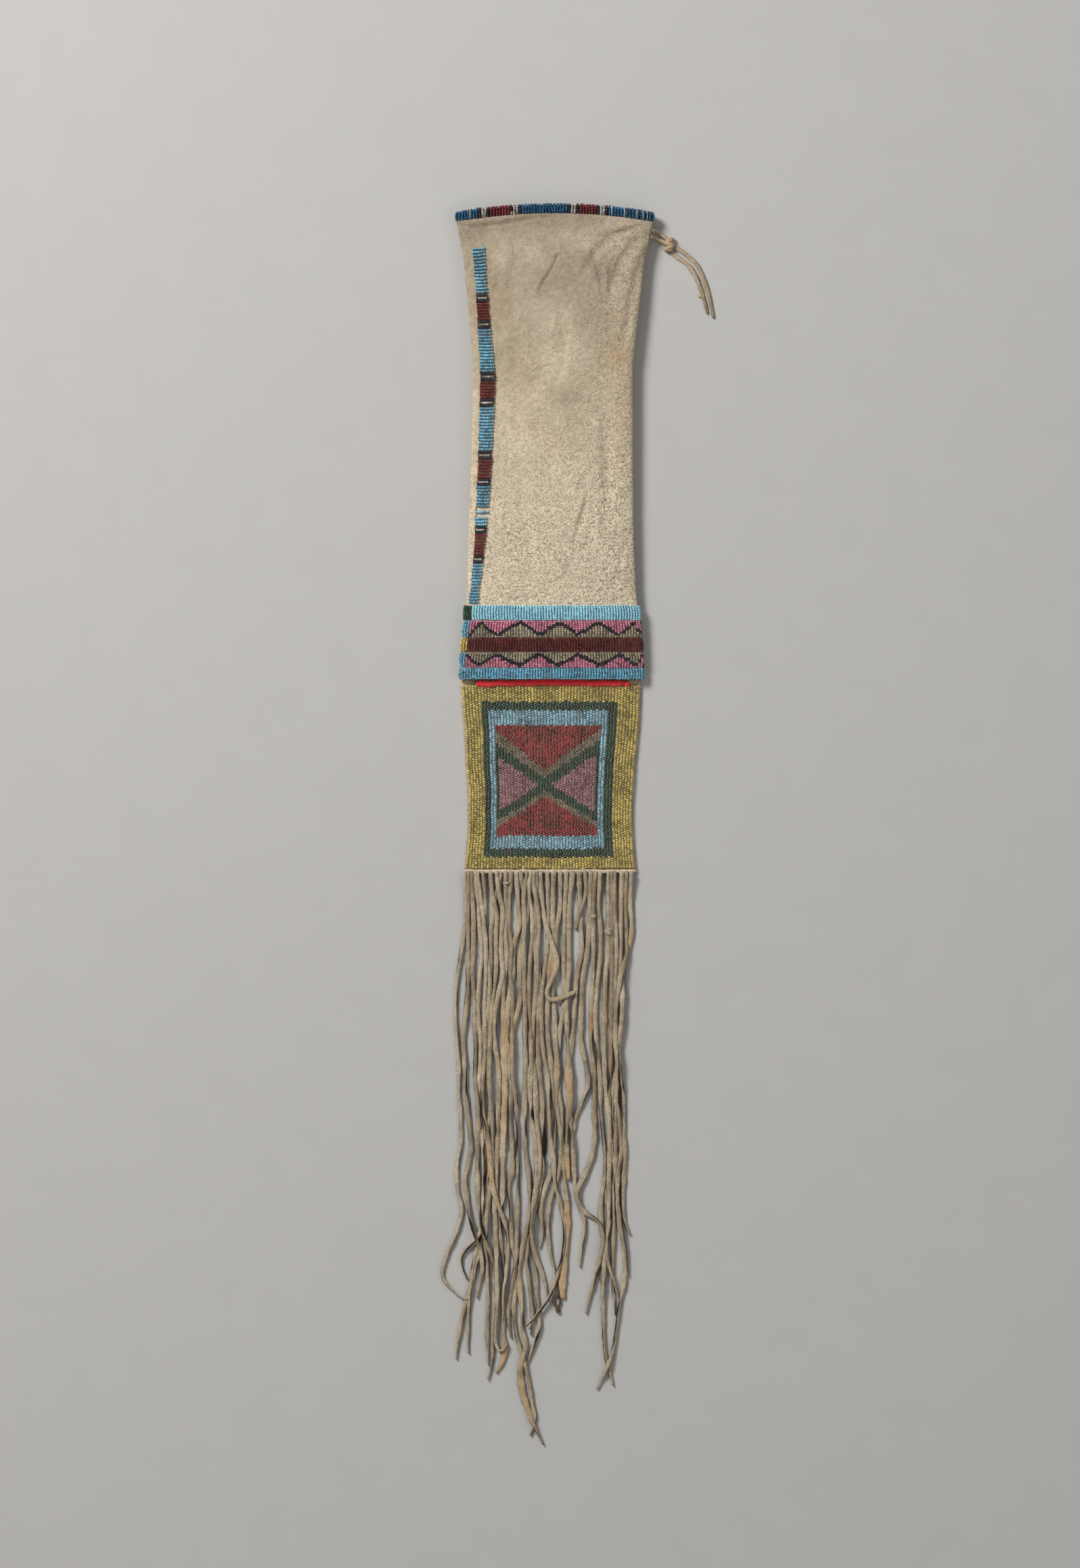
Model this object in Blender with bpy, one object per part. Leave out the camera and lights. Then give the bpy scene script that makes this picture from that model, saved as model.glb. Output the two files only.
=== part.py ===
"""A beaded hide pipe bag, lying flat on its back: pouch, beaded rim, side strips, band, woven panel and fringe.

Metres, +Z up, the mouth towards +Y. The sizes are in millimetres and are turned into metres where they are used.
Down is the distance along the bag from the line of the mouth's corners, and across is measured from the
middle of the mouth, with the tied thong on the positive side.
"""

import math

import bmesh
import bpy
import numpy as np
from mathutils import Vector

MM = 0.001
CLEARANCE = 0.3  # between pieces that touch
FACE_JOIN = 1e-5  # metres, for welding the caps of a curve
SHARP_ANGLE = 50.0  # degrees, above which an edge between faces stays sharp

# Hide pouch: a flattened tube, open at the mouth.
POUCH_LENGTH = 342.0
HIDE_WALL = 1.5
FLATNESS = 2.6  # exponent of the flattened section: 2 is an ellipse, more is squarer
BACK_POINTS = 11  # along the back of each section
# How far down the stations of its section lie, as shares of its length, and its left edge, right edge and
# thickness there.
POUCH_SHARES = [0.013, 0.088, 0.205, 0.322, 0.497, 0.673, 0.804, 0.877, 0.950, 1.0]
POUCH_SECTIONS = [
    (-73.0, 72.8, 12.0), (-68.0, 67.0, 13.5), (-63.5, 62.0, 14.0), (-60.5, 57.5, 14.0), (-61.5, 57.5, 13.5),
    (-63.5, 58.0, 12.5), (-65.0, 60.0, 11.5), (-66.0, 62.0, 10.5), (-68.5, 64.0, 8.5), (-69.5, 64.5, 6.0),
]

# Rim: a roll of beads wrapped round the mouth's edge.
MOUTH_RISE = 6.5  # how much higher the middle of the mouth stands than its corners
MOUTH_RISE_FADE = 60.0  # down to where the hide follows that arch
ROLL_HEIGHT = 7.5
ROLL_THICKNESS = 5.0
ROLL_POINTS = 8
# The stretches of one colour along the mouth from its left corner, and where each one ends across.
RIM_COLOURS = [
    "blue", "navy", "white", "navy", "red", "navy", "white", "navy", "blue", "navy", "white", "navy", "red", "navy",
    "white", "navy", "blue",
]
RIM_ENDS = [
    -56.5, -54.7, -49.8, -47.5, -33.5, -32.0, -27.0, -25.5, 9.2, 11.0, 15.8, 18.0, 31.6, 33.5, 38.0, 40.2, 66.0,
]
RIM_SIDE_POINTS = 3

# Side strips: rows of beads down the front left and the back right.
BEAD_THICKNESS = 2.2  # a bead laid on the hide
STRIP_DROP = 20.0  # bare hide between the mouth's edge and a strip
STRIP_FOOT = 1.5  # bare hide between a strip and the band
STRIP_CROWN = 0.6  # how much a strip's middle stands above its edges
# How far down the pouch the stations of the front strip lie, as shares of its length, and the strip's left and right
# edges there. The back strip is its half turn.
STRIP_SHARES = [0.072, 0.175, 0.354, 0.550, 0.719, 0.836]
STRIP_EDGES = [(-61.5, -51.0), (-58.5, -48.5), (-55.5, -43.0), (-57.5, -46.0), (-60.0, -50.7), (-63.8, -56.0)]
# The fields of one colour from its top, and how long each is beside the others.
STRIP_COLOURS = [
    "light_blue", "white", "red", "white", "light_blue", "white", "red", "white", "light_blue", "white", "red",
    "white", "light_blue", "white", "red", "white", "light_blue",
]
STRIP_PARTS = [33, 6.5, 13, 6.5, 32, 6.5, 13, 6, 32.5, 6.5, 14, 5, 30, 5.5, 16, 6, 29.5]

# Band: lanes of beads wrapped round the pouch below the strips.
LANE_SWELL = 0.8  # how much a lane stands up between its two rows of stitches
ZIGZAG_THICKNESS = 2.6
ZIGZAG_REACH = 0.08  # share of the lane's height left above and below the zigzag's corners
# Where the zigzags turn, across; the upper one starts low and the lower one starts high.
ZIGZAG_TURNS = [-62.0, -54.5, -42.0, -25.0, -9.7, 2.0, 16.3, 31.5, 45.5, 58.0]
LANE_HEIGHTS = [11.0, 12.3, 10.6, 11.2, 8.2]
LANE_COLOURS = [("light_blue",), ("pink", "navy", "grey"), ("maroon",), ("grey", "navy", "pink"), ("light_blue",)]

# Red wool piping along the seam.
PIPING_DIAMETER = 3.6
PIPING_LEFT = -58.5
PIPING_RIGHT = 56.0
PIPING_WAVE = 0.25
PIPING_WAVES = 5

# Panel: flat hide with the woven beadwork on it.
BEADWORK_LENGTH = 135.5
PANEL_HIDE = 1.5
PANEL_HIDE_MARGIN = 1.0  # hide that shows past the beadwork
# How far down the beadwork the stations of its sides lie, as shares of its length, and its edges there.
PANEL_SHARES = [0.0, 0.27, 0.57, 0.78, 1.0]
PANEL_EDGES = [(-69.0, 63.2), (-66.5, 61.0), (-64.0, 56.8), (-63.6, 56.6), (-66.0, 59.2)]
# The nested frames, and the widths of each at left, right, top and bottom.
FRAMES = [("panel_yellow_border", "yellow"), ("panel_green_frame", "green"), ("panel_blue_frame", "pale_blue")]
FRAME_WIDTHS = [(13.4, 16.0, 11.8, 8.5), (6.4, 8.5, 6.4, 6.0), (4.0, 4.5, 11.3, 9.8)]
# Where the field's colours meet, as shares of its height from its top: along its left side, its right side and
# its middle.
FIELD_LEFT = (0.043, 0.165, 0.275, 0.789, 0.863, 0.930)
FIELD_RIGHT = (0.031, 0.135, 0.245, 0.793, 0.869, 0.930)
FIELD_MIDDLE = (0.400, 0.477, 0.594, 0.641)
CROSS_WAIST_SHARE = 0.535
FIELD_MIDDLE_ACROSS = -7.6
CROSS_WAIST = 4.8  # half of the cross's width at its middle
LEAST_CORNER = 0.2  # of a right corner's reach, for moving an outline inwards at a sharp point

# Fringe header: the strip of hide that the thongs are pulled through.
HEADER_WIDTH = 3.2
HEADER_THICKNESS = 4.0

# Fringe thongs and the tie: strips of hide, free for their whole length.
THONG_WIDTH = 3.8
THONG_THICKNESS = 1.6
THONG_START = 1.0  # below the header's lower edge
THONG_START_HEIGHT = 2.6
THONG_START_FALL = 22.0
LAY_GAP = 0.3  # kept between thongs that lie on each other
LAY_SLOPE = 0.12  # the steepest that a thong climbs over another
LAY_TOLERANCE = 0.35  # how far a thong's straight runs may lie from where it would be
COURSE_STEP = 2.0
COURSE_TOLERANCE = 0.9
COURSE_SMOOTHING = 8  # points between two chosen ones

# Tie thong at the right corner of the mouth.
KNOT_SIZE = (6.0, 11.0, 5.0)
KNOT_PLACE = (84.5, 20.5)
KNOT_RINGS = 8
KNOT_SEGMENTS = 12
LEG_DIAMETER = 2.2
LEG_HOLES = (10.5, 15.5)
LEG_LEAD = Vector((3.0, 0.0, -1.0))
TIE_WIDTH = 2.6
TIE_THICKNESS = 1.6
# The tails' courses: across, and down.
TIE_TAILS = ["tie_tail_long", "tie_tail_short"]
TIE_COURSES = [
    [(88.2, 22.0), (95.0, 26.0), (101.0, 31.0), (106.0, 37.0), (110.0, 45.5), (113.3, 55.5), (116.0, 66.8),
     (117.5, 74.5)],
    [(86.0, 25.9), (91.5, 30.0), (98.0, 35.0), (103.0, 42.0), (107.0, 51.0), (110.5, 61.0), (113.0, 71.5)],
]

HIDE_COLOUR = (0.33, 0.27, 0.19)
HIDE_ROUGHNESS = 0.9
WOOL_COLOUR = (0.45, 0.01, 0.03)
WOOL_ROUGHNESS = 0.95
BEAD_ROUGHNESS = 0.35
COLOURS = {
    "blue": (0.03, 0.16, 0.42), "navy": (0.01, 0.012, 0.04), "white": (0.62, 0.58, 0.47),
    "red": (0.30, 0.02, 0.03), "light_blue": (0.15, 0.42, 0.52), "pink": (0.55, 0.17, 0.26),
    "grey": (0.25, 0.21, 0.15), "maroon": (0.06, 0.008, 0.01), "yellow": (0.52, 0.40, 0.08),
    "green": (0.01, 0.045, 0.035), "pale_blue": (0.30, 0.48, 0.58), "dusty_pink": (0.32, 0.13, 0.14),
}

# The thongs' courses over the floor, lowest thong first: across, and down from the header's lower edge.
FRINGE_COURSES = [
    [(42, 0), (42.5, 25.5), (42, 53), (42.5, 78), (42, 103), (41.5, 133), (41, 158), (43.5, 183),
     (42.5, 208), (39, 228), (39, 253), (38, 268), (35, 293), (34.5, 310.5)],
    [(-13, 0), (-14, 23), (-14.5, 53), (-11.5, 78), (-12, 98), (-12.5, 123), (-12, 140.5), (-10, 158),
     (-8.5, 183), (-8, 203), (-10.5, 225.5), (-14.5, 248), (-19, 268), (-20.5, 285.5), (-18.5, 305.5),
     (-16.5, 328), (-17.5, 340.5)],
    [(-40, 0), (-44.5, 20.5), (-47.5, 43), (-47.5, 68), (-49, 93), (-52, 113), (-53, 138), (-54, 163),
     (-51.5, 183), (-49, 203), (-49.5, 225.5), (-51.5, 245.5), (-54, 265.5), (-57, 284), (-61.5, 302),
     (-66.5, 319), (-70.5, 338), (-73, 358)],
    [(-53, 0), (-51.5, 23), (-52.5, 43), (-49, 63), (-48, 83), (-49.5, 103), (-50, 123), (-49.5, 148),
     (-48, 173), (-51, 193), (-52, 213), (-51.5, 233), (-52, 253), (-56, 270.5), (-60, 287),
     (-62.5, 305.5), (-64, 328), (-64, 354)],
    [(-59, 0), (-57, 18), (-55.5, 38), (-54, 58), (-56, 78), (-57, 103), (-55, 123), (-55.5, 148),
     (-57, 168), (-54.5, 188), (-53, 208), (-52.5, 225.5), (-53.5, 245.5), (-54.5, 262),
     (-58.5, 269.5), (-65, 276), (-69.5, 282), (-68.5, 291), (-65, 299)],
    [(-64, 0), (-64.5, 23), (-64, 43), (-64, 73), (-65, 93), (-67.5, 118), (-67, 135.5), (-66, 158),
     (-64, 178), (-62, 198), (-64, 214), (-66.5, 225.5), (-64.5, 240.5), (-62.5, 255.5), (-58.5, 268),
     (-55, 279), (-53.5, 290.5), (-55, 300.5), (-57.5, 313)],
    [(-47.5, 0), (-46, 15.5), (-43, 29), (-43.5, 45.5), (-43.5, 68), (-45, 85.5), (-47, 103),
     (-48, 123), (-48.5, 143), (-48, 163), (-46.5, 183), (-46, 203), (-47, 223), (-49, 240.5),
     (-51, 255.5), (-51.5, 270.5), (-50, 293), (-49.5, 318), (-50, 338), (-49.5, 362)],
    [(44.5, 0), (44, 23), (45.5, 43), (45.5, 68), (45, 88), (44.5, 108), (46, 133), (44, 153),
     (42.5, 173), (43, 193), (43.5, 213), (43, 233), (43.5, 258), (43, 283), (43, 303), (44.5, 325.5)],
    [(-15.5, 0), (-15.5, 8), (-13, 23), (-11.5, 40.5), (-13.5, 58), (-13.5, 78), (-15, 98),
     (-16.5, 118), (-16, 138), (-14.5, 155.5), (-14, 173), (-13, 190.5), (-11, 205.5), (-11.5, 223),
     (-15, 240.5), (-17, 260.5), (-16, 278), (-14, 298), (-12.5, 318), (-11.5, 334), (-15.5, 347),
     (-20.5, 362)],
    [(-25, 0), (-24, 8), (-21, 18), (-21.5, 35.5), (-25, 53), (-26, 73), (-25.5, 90.5), (-29, 107),
     (-31, 123), (-31.5, 143), (-32, 169)],
    [(-28.5, 0), (-27, 20.5), (-26, 37), (-30.5, 52), (-31, 73), (-34, 93), (-35.5, 110.5), (-34, 133),
     (-32.5, 158), (-33, 178), (-31.5, 203), (-31.5, 220.5), (-34, 230.5), (-32.5, 253), (-31.5, 273),
     (-29, 288), (-30, 305.5), (-30.5, 320.5), (-28, 342), (-23.5, 357), (-19.5, 373), (-17, 389),
     (-15, 403), (-18, 415)],
    [(-1, 0), (-1.5, 25.5), (-1.5, 48), (-4, 73), (-5.5, 103), (-5, 120.5), (-3, 138), (-1, 155.5),
     (0, 173), (0, 193), (-1.5, 213), (-5, 225.5), (-8.5, 235.5), (-10.5, 250.5), (-8.5, 264),
     (-11.5, 276)],
    [(8.5, 0), (7.5, 23), (7, 43), (6.5, 63), (7, 83), (6.5, 98), (4, 113), (2.5, 130.5), (2, 148),
     (4, 165.5), (5, 180.5), (5.5, 203), (7, 223), (9, 243), (9, 265.5), (7.5, 288), (5.5, 303),
     (6, 313.5)],
    [(26.5, 0), (26, 23), (25, 45.5), (23, 63), (20.5, 78), (19.5, 103), (19.5, 123), (23.5, 143),
     (24.5, 155.5), (20, 168), (15.5, 180.5), (13, 198)],
    [(33.5, 0), (32.5, 23), (34, 45.5), (33, 68), (30.5, 88), (30, 110.5), (32, 133), (33.5, 153),
     (34, 173), (35.5, 193), (37.5, 208), (36.5, 225.5), (34, 243), (34, 258), (36, 273), (36.5, 293),
     (35.5, 308), (36, 323), (36.5, 343), (38, 358), (41, 369), (43, 377.5)],
    [(56.5, 0), (56, 20.5), (57, 40.5), (54.5, 54), (51, 70.5), (50.5, 93), (48.5, 118), (47, 138),
     (45.5, 163), (45, 188), (44.5, 213), (46, 235.5), (47, 253), (49.5, 270.5), (52, 288), (51, 303),
     (47.5, 320.5), (45.5, 335.5), (43, 352), (38.5, 365), (31, 380.5)],
    [(18, 0), (18.5, 20.5), (19.5, 40.5), (20, 55.5), (16.5, 73), (15, 93), (13.5, 115.5), (11, 135.5),
     (10.5, 153), (11, 170.5), (12.5, 193), (14, 210.5), (15, 231.5), (18, 246), (22, 256),
     (20.5, 270.5), (18.5, 290)],
    [(-36.5, 0), (-36.5, 23), (-36.5, 43), (-35.5, 63), (-38, 83), (-37.5, 108), (-36.5, 125.5),
     (-37, 145.5), (-37, 165.5), (-38, 185.5), (-38.5, 208), (-38.5, 230.5), (-39.5, 248), (-40, 268),
     (-38, 290.5), (-37.5, 313), (-38, 335.5), (-37, 350.5), (-39, 360.5), (-43.5, 368.5)],
    [(-66.5, 0), (-66, 23), (-67, 42), (-70, 63), (-73, 83), (-73.5, 103), (-72.5, 120.5), (-71, 143),
     (-71, 163), (-69.5, 180.5), (-69.5, 198), (-72.5, 216.5), (-71.5, 235.5), (-68.5, 248),
     (-73, 265.5), (-79, 279), (-83.5, 294), (-82, 300), (-76.5, 306), (-71, 311.5), (-64.5, 314)],
    [(-32.5, 0), (-33.5, 23), (-34, 38), (-32, 53), (-33, 73), (-31.5, 88), (-31.5, 108), (-31.5, 133),
     (-31, 153), (-28.5, 170.5), (-27.5, 193), (-27.5, 223), (-27.5, 248), (-28, 265.5),
     (-28.5, 280.5), (-30.5, 295.5), (-32.5, 310.5), (-34.5, 325.5), (-32.5, 342.5)],
    [(-21, 0), (-23, 15.5), (-22.5, 33), (-23, 53), (-22.5, 83), (-22, 103), (-22, 123), (-21.5, 143),
     (-22.5, 163), (-22, 183), (-21.5, 203), (-19.5, 220.5), (-18.5, 235.5), (-19, 253), (-23, 270.5),
     (-26, 288), (-26, 305.5), (-24.5, 320.5), (-24, 335.5), (-21.5, 348), (-24.5, 359), (-25.5, 369),
     (-24, 383), (-20.5, 394), (-16.5, 405), (-12, 414), (-8.5, 421.5)],
    [(-18, 0), (-19.5, 13), (-17, 25.5), (-16.5, 43), (-18, 60.5), (-19, 78), (-19, 98), (-18, 118),
     (-17.5, 138), (-18.5, 155.5), (-17.5, 175.5), (-15, 195.5), (-13.5, 215.5), (-14.5, 235.5),
     (-17, 250.5), (-17.5, 264), (-15, 278), (-10.5, 292), (-7, 303), (-5.5, 314)],
    [(4, 0), (4, 23), (1.5, 39), (0, 55.5), (-1.5, 78), (-0.5, 98), (0.5, 118), (1.5, 135.5),
     (1.5, 153), (2, 173), (4.5, 193), (3, 220.5), (-3, 239), (-5, 258), (-3.5, 278), (0.5, 295.5)],
    [(13, 0), (11, 20.5), (10.5, 43), (10.5, 68), (8.5, 90.5), (9, 110.5), (10, 133), (10.5, 153),
     (11, 168), (9, 188), (9, 205.5), (10, 225.5)],
    [(39.5, 0), (39.5, 25.5), (39.5, 53), (37.5, 75.5), (36.5, 103), (36.5, 133), (37.5, 158),
     (40.5, 180.5), (40.5, 208), (40, 233), (40, 258), (38, 278), (41, 292), (44, 301.5),
     (45.5, 310.5)],
    [(30, 0), (28.5, 18), (28.5, 43), (28.5, 68), (27.5, 88), (26.5, 108), (27, 128), (29.5, 148),
     (29, 173), (29.5, 195.5), (26, 214), (19, 228), (16, 237), (21.5, 249), (33, 257), (35.5, 272),
     (32, 289), (27.5, 305.5), (23, 324.5)],
    [(49.5, 0), (49, 25.5), (49, 48), (49, 68), (50, 88), (49.5, 108), (47, 128), (48, 148),
     (50.5, 163), (50.5, 183), (52, 208), (50.5, 228), (50.5, 248), (52, 257), (55.5, 266)],
    [(53, 0), (52.5, 23), (53, 43), (53, 58), (49, 73), (47, 88), (45, 103), (45, 123), (46.5, 143),
     (47, 168), (48, 188), (49, 205.5), (46.5, 220.5), (47, 240.5), (49, 260.5), (52, 278), (54, 296)],
    [(-61.5, 0), (-60.5, 23), (-60, 38), (-60.5, 58), (-61, 73), (-59.5, 90.5), (-59, 108),
     (-58.5, 128), (-59, 148), (-57.5, 168), (-56.5, 188), (-57.5, 213), (-57, 235.5), (-55.5, 253),
     (-52.5, 267), (-47.5, 280.5), (-44.5, 298), (-43.5, 318), (-45.5, 335.5), (-46, 350.5),
     (-46.5, 362), (-49.5, 373.5)],
    [(-43, 0), (-41.5, 13), (-38.5, 27), (-39.5, 43), (-39.5, 60.5), (-38.5, 73), (-41.5, 87),
     (-44.5, 103), (-44.5, 123), (-42, 140.5), (-41, 158), (-42, 178), (-42.5, 203), (-43.5, 225.5),
     (-44.5, 248), (-43.5, 270.5), (-43, 293), (-42.5, 315.5), (-44, 335.5), (-43.5, 348),
     (-39.5, 353), (-35.5, 346)],
    [(-57, 0), (-54.5, 18), (-52, 38), (-51, 53), (-51, 78), (-52, 98), (-51.5, 118), (-52, 135.5),
     (-53.5, 153), (-53, 173), (-50, 190.5), (-48, 210.5), (-46, 230.5), (-41.5, 245.5), (-36.5, 259),
     (-34.5, 275.5), (-36, 293), (-38, 310.5), (-38.5, 329)],
    [(-5.5, 0), (-5, 23), (-5, 45.5), (-7, 65.5), (-9.5, 85.5), (-10, 108), (-9, 128), (-5.5, 148),
     (-4.5, 170.5), (-3.5, 193), (-1, 210.5), (0, 227), (4.5, 245.5), (7, 260.5), (6, 280.5), (1, 298),
     (-6.5, 316), (-21, 333.5)],
    [(22.5, 0), (23, 14), (19, 26), (15, 40)],
    [(-10.5, 0), (-9.5, 20.5), (-6.5, 37), (-1.5, 52), (1.5, 65.5), (-2, 76.5), (-6, 86), (-4, 92.5),
     (5, 90.5), (14.5, 86.5)],
]

# What follows from the sizes above.
POUCH_LIFT = BEAD_THICKNESS + CLEARANCE  # the back of the pouch lies on the beads behind it
POUCH_DOWNS = [share * POUCH_LENGTH for share in POUCH_SHARES]
BAND_TOP = POUCH_LENGTH - sum(LANE_HEIGHTS) - (len(LANE_HEIGHTS) - 1) * CLEARANCE
BEADWORK_TOP = POUCH_LENGTH + 2 * CLEARANCE + PIPING_DIAMETER + 2 * PIPING_WAVE
BEADWORK_BOTTOM = BEADWORK_TOP + BEADWORK_LENGTH
BEADWORK_LIFT = PANEL_HIDE + CLEARANCE
HEADER_TOP = BEADWORK_BOTTOM + 2 * CLEARANCE
HEADER_BOTTOM = HEADER_TOP + HEADER_WIDTH
MOUTH = POUCH_DOWNS[0]  # the edge that the rim's roll sits on
STRIP_TOP = MOUTH + STRIP_DROP
STRIP_LENGTH = BAND_TOP - STRIP_FOOT - STRIP_TOP
BAG_TOP = MOUTH - CLEARANCE - ROLL_HEIGHT - MOUTH_RISE * (1 - MOUTH / MOUTH_RISE_FADE)


def clear_scene():
    """Take out whatever the scene holds, and give back the bag's own collection and the cutters' one."""
    for thing in list(bpy.data.objects):
        bpy.data.objects.remove(thing, do_unlink=True)
    collections = []
    for name in ("pipe_bag", "cutters"):
        collection = bpy.data.collections.new(name)
        bpy.context.scene.collection.children.link(collection)
        collections.append(collection)
    return collections


def finish(name, colour, roughness):
    """A plain Principled material."""
    made = bpy.data.materials.new(name)
    made.use_nodes = True
    shader = made.node_tree.nodes["Principled BSDF"]
    shader.inputs["Base Color"].default_value = (*colour, 1.0)
    shader.inputs["Roughness"].default_value = roughness
    shader.inputs["Metallic"].default_value = 0.0
    return made


def bead_finish(piece, colour):
    """The glass beads of one colour on one piece."""
    return finish(f"{piece}_{colour}", COLOURS[colour], BEAD_ROUGHNESS)


def hide_finish(piece):
    """Tanned hide."""
    return finish(f"{piece}_hide", HIDE_COLOUR, HIDE_ROUGHNESS)


def place(name, data, finishes, collection, frame):
    """Put a mesh or a curve into the bag's collection, under the bag's frame."""
    made = bpy.data.objects.new(name, data)
    collection.objects.link(made)
    made.parent = frame
    for each in finishes:
        data.materials.append(each)
    return made


def loft(name, rings, turn=False, colour_of=None):
    """A mesh through rings of as many points each: closed on itself if turn, and otherwise capped at both ends."""
    bm = bmesh.new()
    rows = [[bm.verts.new(Vector(point) * MM) for point in ring] for ring in rings]
    count = len(rows[0])
    pairs = list(zip(rows, rows[1:] + rows[:1]))
    if not turn:
        pairs.pop()
        bm.faces.new(rows[0])
        bm.faces.new(rows[-1])
    for i, (one, other) in enumerate(pairs):
        for j in range(count):
            k = (j + 1) % count
            face = bm.faces.new((one[j], one[k], other[k], other[j]))
            face.smooth = True
            if colour_of:
                face.material_index = colour_of(i, j)
    bmesh.ops.recalc_face_normals(bm, faces=bm.faces)
    mesh = bpy.data.meshes.new(name)
    bm.to_mesh(mesh)
    bm.free()
    mesh.set_sharp_from_angle(angle=math.radians(SHARP_ANGLE))
    return mesh


def pouch_section(down):
    """The pouch's middle across, half width, half thickness and height of its middle at this distance down."""
    left, right, thick = (float(np.interp(down, POUCH_DOWNS, side)) for side in zip(*POUCH_SECTIONS))
    return (left + right) / 2, (right - left) / 2, thick / 2, POUCH_LIFT + thick / 2


def arch(across, down):
    """How much higher than its station a point of the hide lies, near the mouth's arch."""
    middle, half, _, _ = pouch_section(0.0)
    share = min(1.0, abs(across - middle) / half)
    return MOUTH_RISE * (1 - share**2) * max(0.0, 1 - down / MOUTH_RISE_FADE)


def round_pouch(angle, down, out):
    """The point at this angle round the pouch: 0 is its right edge, a quarter turn its front. out is off its skin."""
    middle, half, tall, height = pouch_section(down)
    c, s = math.cos(angle), math.sin(angle)
    across = middle + (half + out) * math.copysign(abs(c) ** (2 / FLATNESS), c)
    up = height + (tall + out) * math.copysign(abs(s) ** (2 / FLATNESS), s)
    return (across, -down + arch(across, down), up)


def section_angle(across, middle, half):
    """The angle at which the front of a flattened section has this place across."""
    share = max(-1.0, min(1.0, (across - middle) / half))
    return math.acos(math.copysign(abs(share) ** (FLATNESS / 2), share))


def front_angle(across, down):
    """The angle at which the front of the pouch has this place across."""
    middle, half, _, _ = pouch_section(down)
    return section_angle(across, middle, half)


def ring_angles():
    """The angles of the points round pouch and band: at the zigzag's turns in front, at the sides and behind."""
    middle_of_band = (BAND_TOP + POUCH_LENGTH) / 2
    front = [front_angle(across, middle_of_band) for across in ZIGZAG_TURNS[::-1]]
    sides = [0.0, front[0] / 2], [(front[-1] + math.pi) / 2, math.pi]
    back = [math.pi * (1 + (k + 1) / (BACK_POINTS + 1)) for k in range(BACK_POINTS)]
    return sides[0] + front + sides[1] + back


def make_pouch(collection, frame):
    """The hide tube: its outer skin and its inside, joined round the mouth."""
    angles = ring_angles()
    outer = [[round_pouch(a, down, 0.0) for a in angles] for down in POUCH_DOWNS]
    inner = [[round_pouch(a, down, -HIDE_WALL) for a in angles] for down in POUCH_DOWNS[:-1]]
    inner.append([round_pouch(a, POUCH_LENGTH - HIDE_WALL, -HIDE_WALL) for a in angles])
    mesh = loft("hide_pouch", inner[::-1] + outer)
    place("hide_pouch", mesh, [hide_finish("pouch")], collection, frame)


def make_rim(collection, frame):
    """The roll of beads round the mouth, seated on the edge of the hide."""
    middle, half, tall, height = pouch_section(MOUTH)
    half, tall = half - HIDE_WALL / 2, tall - HIDE_WALL / 2
    front = [section_angle(end, middle, half) for end in RIM_ENDS[::-1]]
    lead = [front[0] * k / RIM_SIDE_POINTS for k in range(RIM_SIDE_POINTS)]
    tail = [front[-1] + (math.pi - front[-1]) * k / RIM_SIDE_POINTS for k in range(1, RIM_SIDE_POINTS)]
    angles = lead + front + tail
    angles += [a + math.pi for a in lead] + [2 * math.pi - a for a in front[::-1]]
    angles += [2 * math.pi - a for a in lead[:0:-1]]
    roll_down = MOUTH - CLEARANCE - ROLL_HEIGHT / 2
    rings, places = [], []
    for a in angles:
        c, s = math.cos(a), math.sin(a)
        x = middle + half * math.copysign(abs(c) ** (2 / FLATNESS), c)
        z = height + tall * math.copysign(abs(s) ** (2 / FLATNESS), s)
        nx = math.copysign(abs(c) ** (2 - 2 / FLATNESS), c) / half
        nz = math.copysign(abs(s) ** (2 - 2 / FLATNESS), s) / tall
        length = math.hypot(nx, nz)
        nx, nz = nx / length, nz / length
        rise = arch(x, MOUTH)
        ring = []
        for k in range(ROLL_POINTS):
            turn = 2 * math.pi * k / ROLL_POINTS
            out = ROLL_THICKNESS / 2 * math.cos(turn)
            ring.append((x + nx * out, -roll_down + rise + ROLL_HEIGHT / 2 * math.sin(turn), z + nz * out))
        rings.append(ring)
        places.append(x)
    colours = sorted(set(RIM_COLOURS))

    def colour_of(i, _):
        here = (places[i] + places[(i + 1) % len(places)]) / 2
        return colours.index(next((n for n, end in zip(RIM_COLOURS, RIM_ENDS) if here < end), RIM_COLOURS[-1]))

    mesh = loft("rim_beading", rings, turn=True, colour_of=colour_of)
    place("rim_beading", mesh, [bead_finish("rim", c) for c in colours], collection, frame)


def make_strip(name, half_turn, collection, frame):
    """A strip of bead rows down the pouch. half_turn is 0 on the front and half a circle on the back."""
    downs = [STRIP_TOP]
    for part in STRIP_PARTS:
        downs.append(downs[-1] + part / sum(STRIP_PARTS) * STRIP_LENGTH)
    stations = [share * POUCH_LENGTH for share in STRIP_SHARES]
    lefts, rights = zip(*STRIP_EDGES)
    rings = []
    for down in downs:
        left, right = np.interp(down, stations, lefts), np.interp(down, stations, rights)
        turns = [front_angle(left + (right - left) * k / 3, down) + half_turn for k in range(4)]
        swell = [0.0, STRIP_CROWN, STRIP_CROWN, 0.0]
        under = [round_pouch(a, down, CLEARANCE) for a in turns]
        over = [
            round_pouch(a, down, CLEARANCE + BEAD_THICKNESS - STRIP_CROWN + more)
            for a, more in zip(turns, swell)
        ]
        rings.append(under + over[::-1])
    colours = sorted(set(STRIP_COLOURS))
    mesh = loft(name, rings, colour_of=lambda i, _: colours.index(STRIP_COLOURS[i]))
    place(name, mesh, [bead_finish(name, c) for c in colours], collection, frame)


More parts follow.
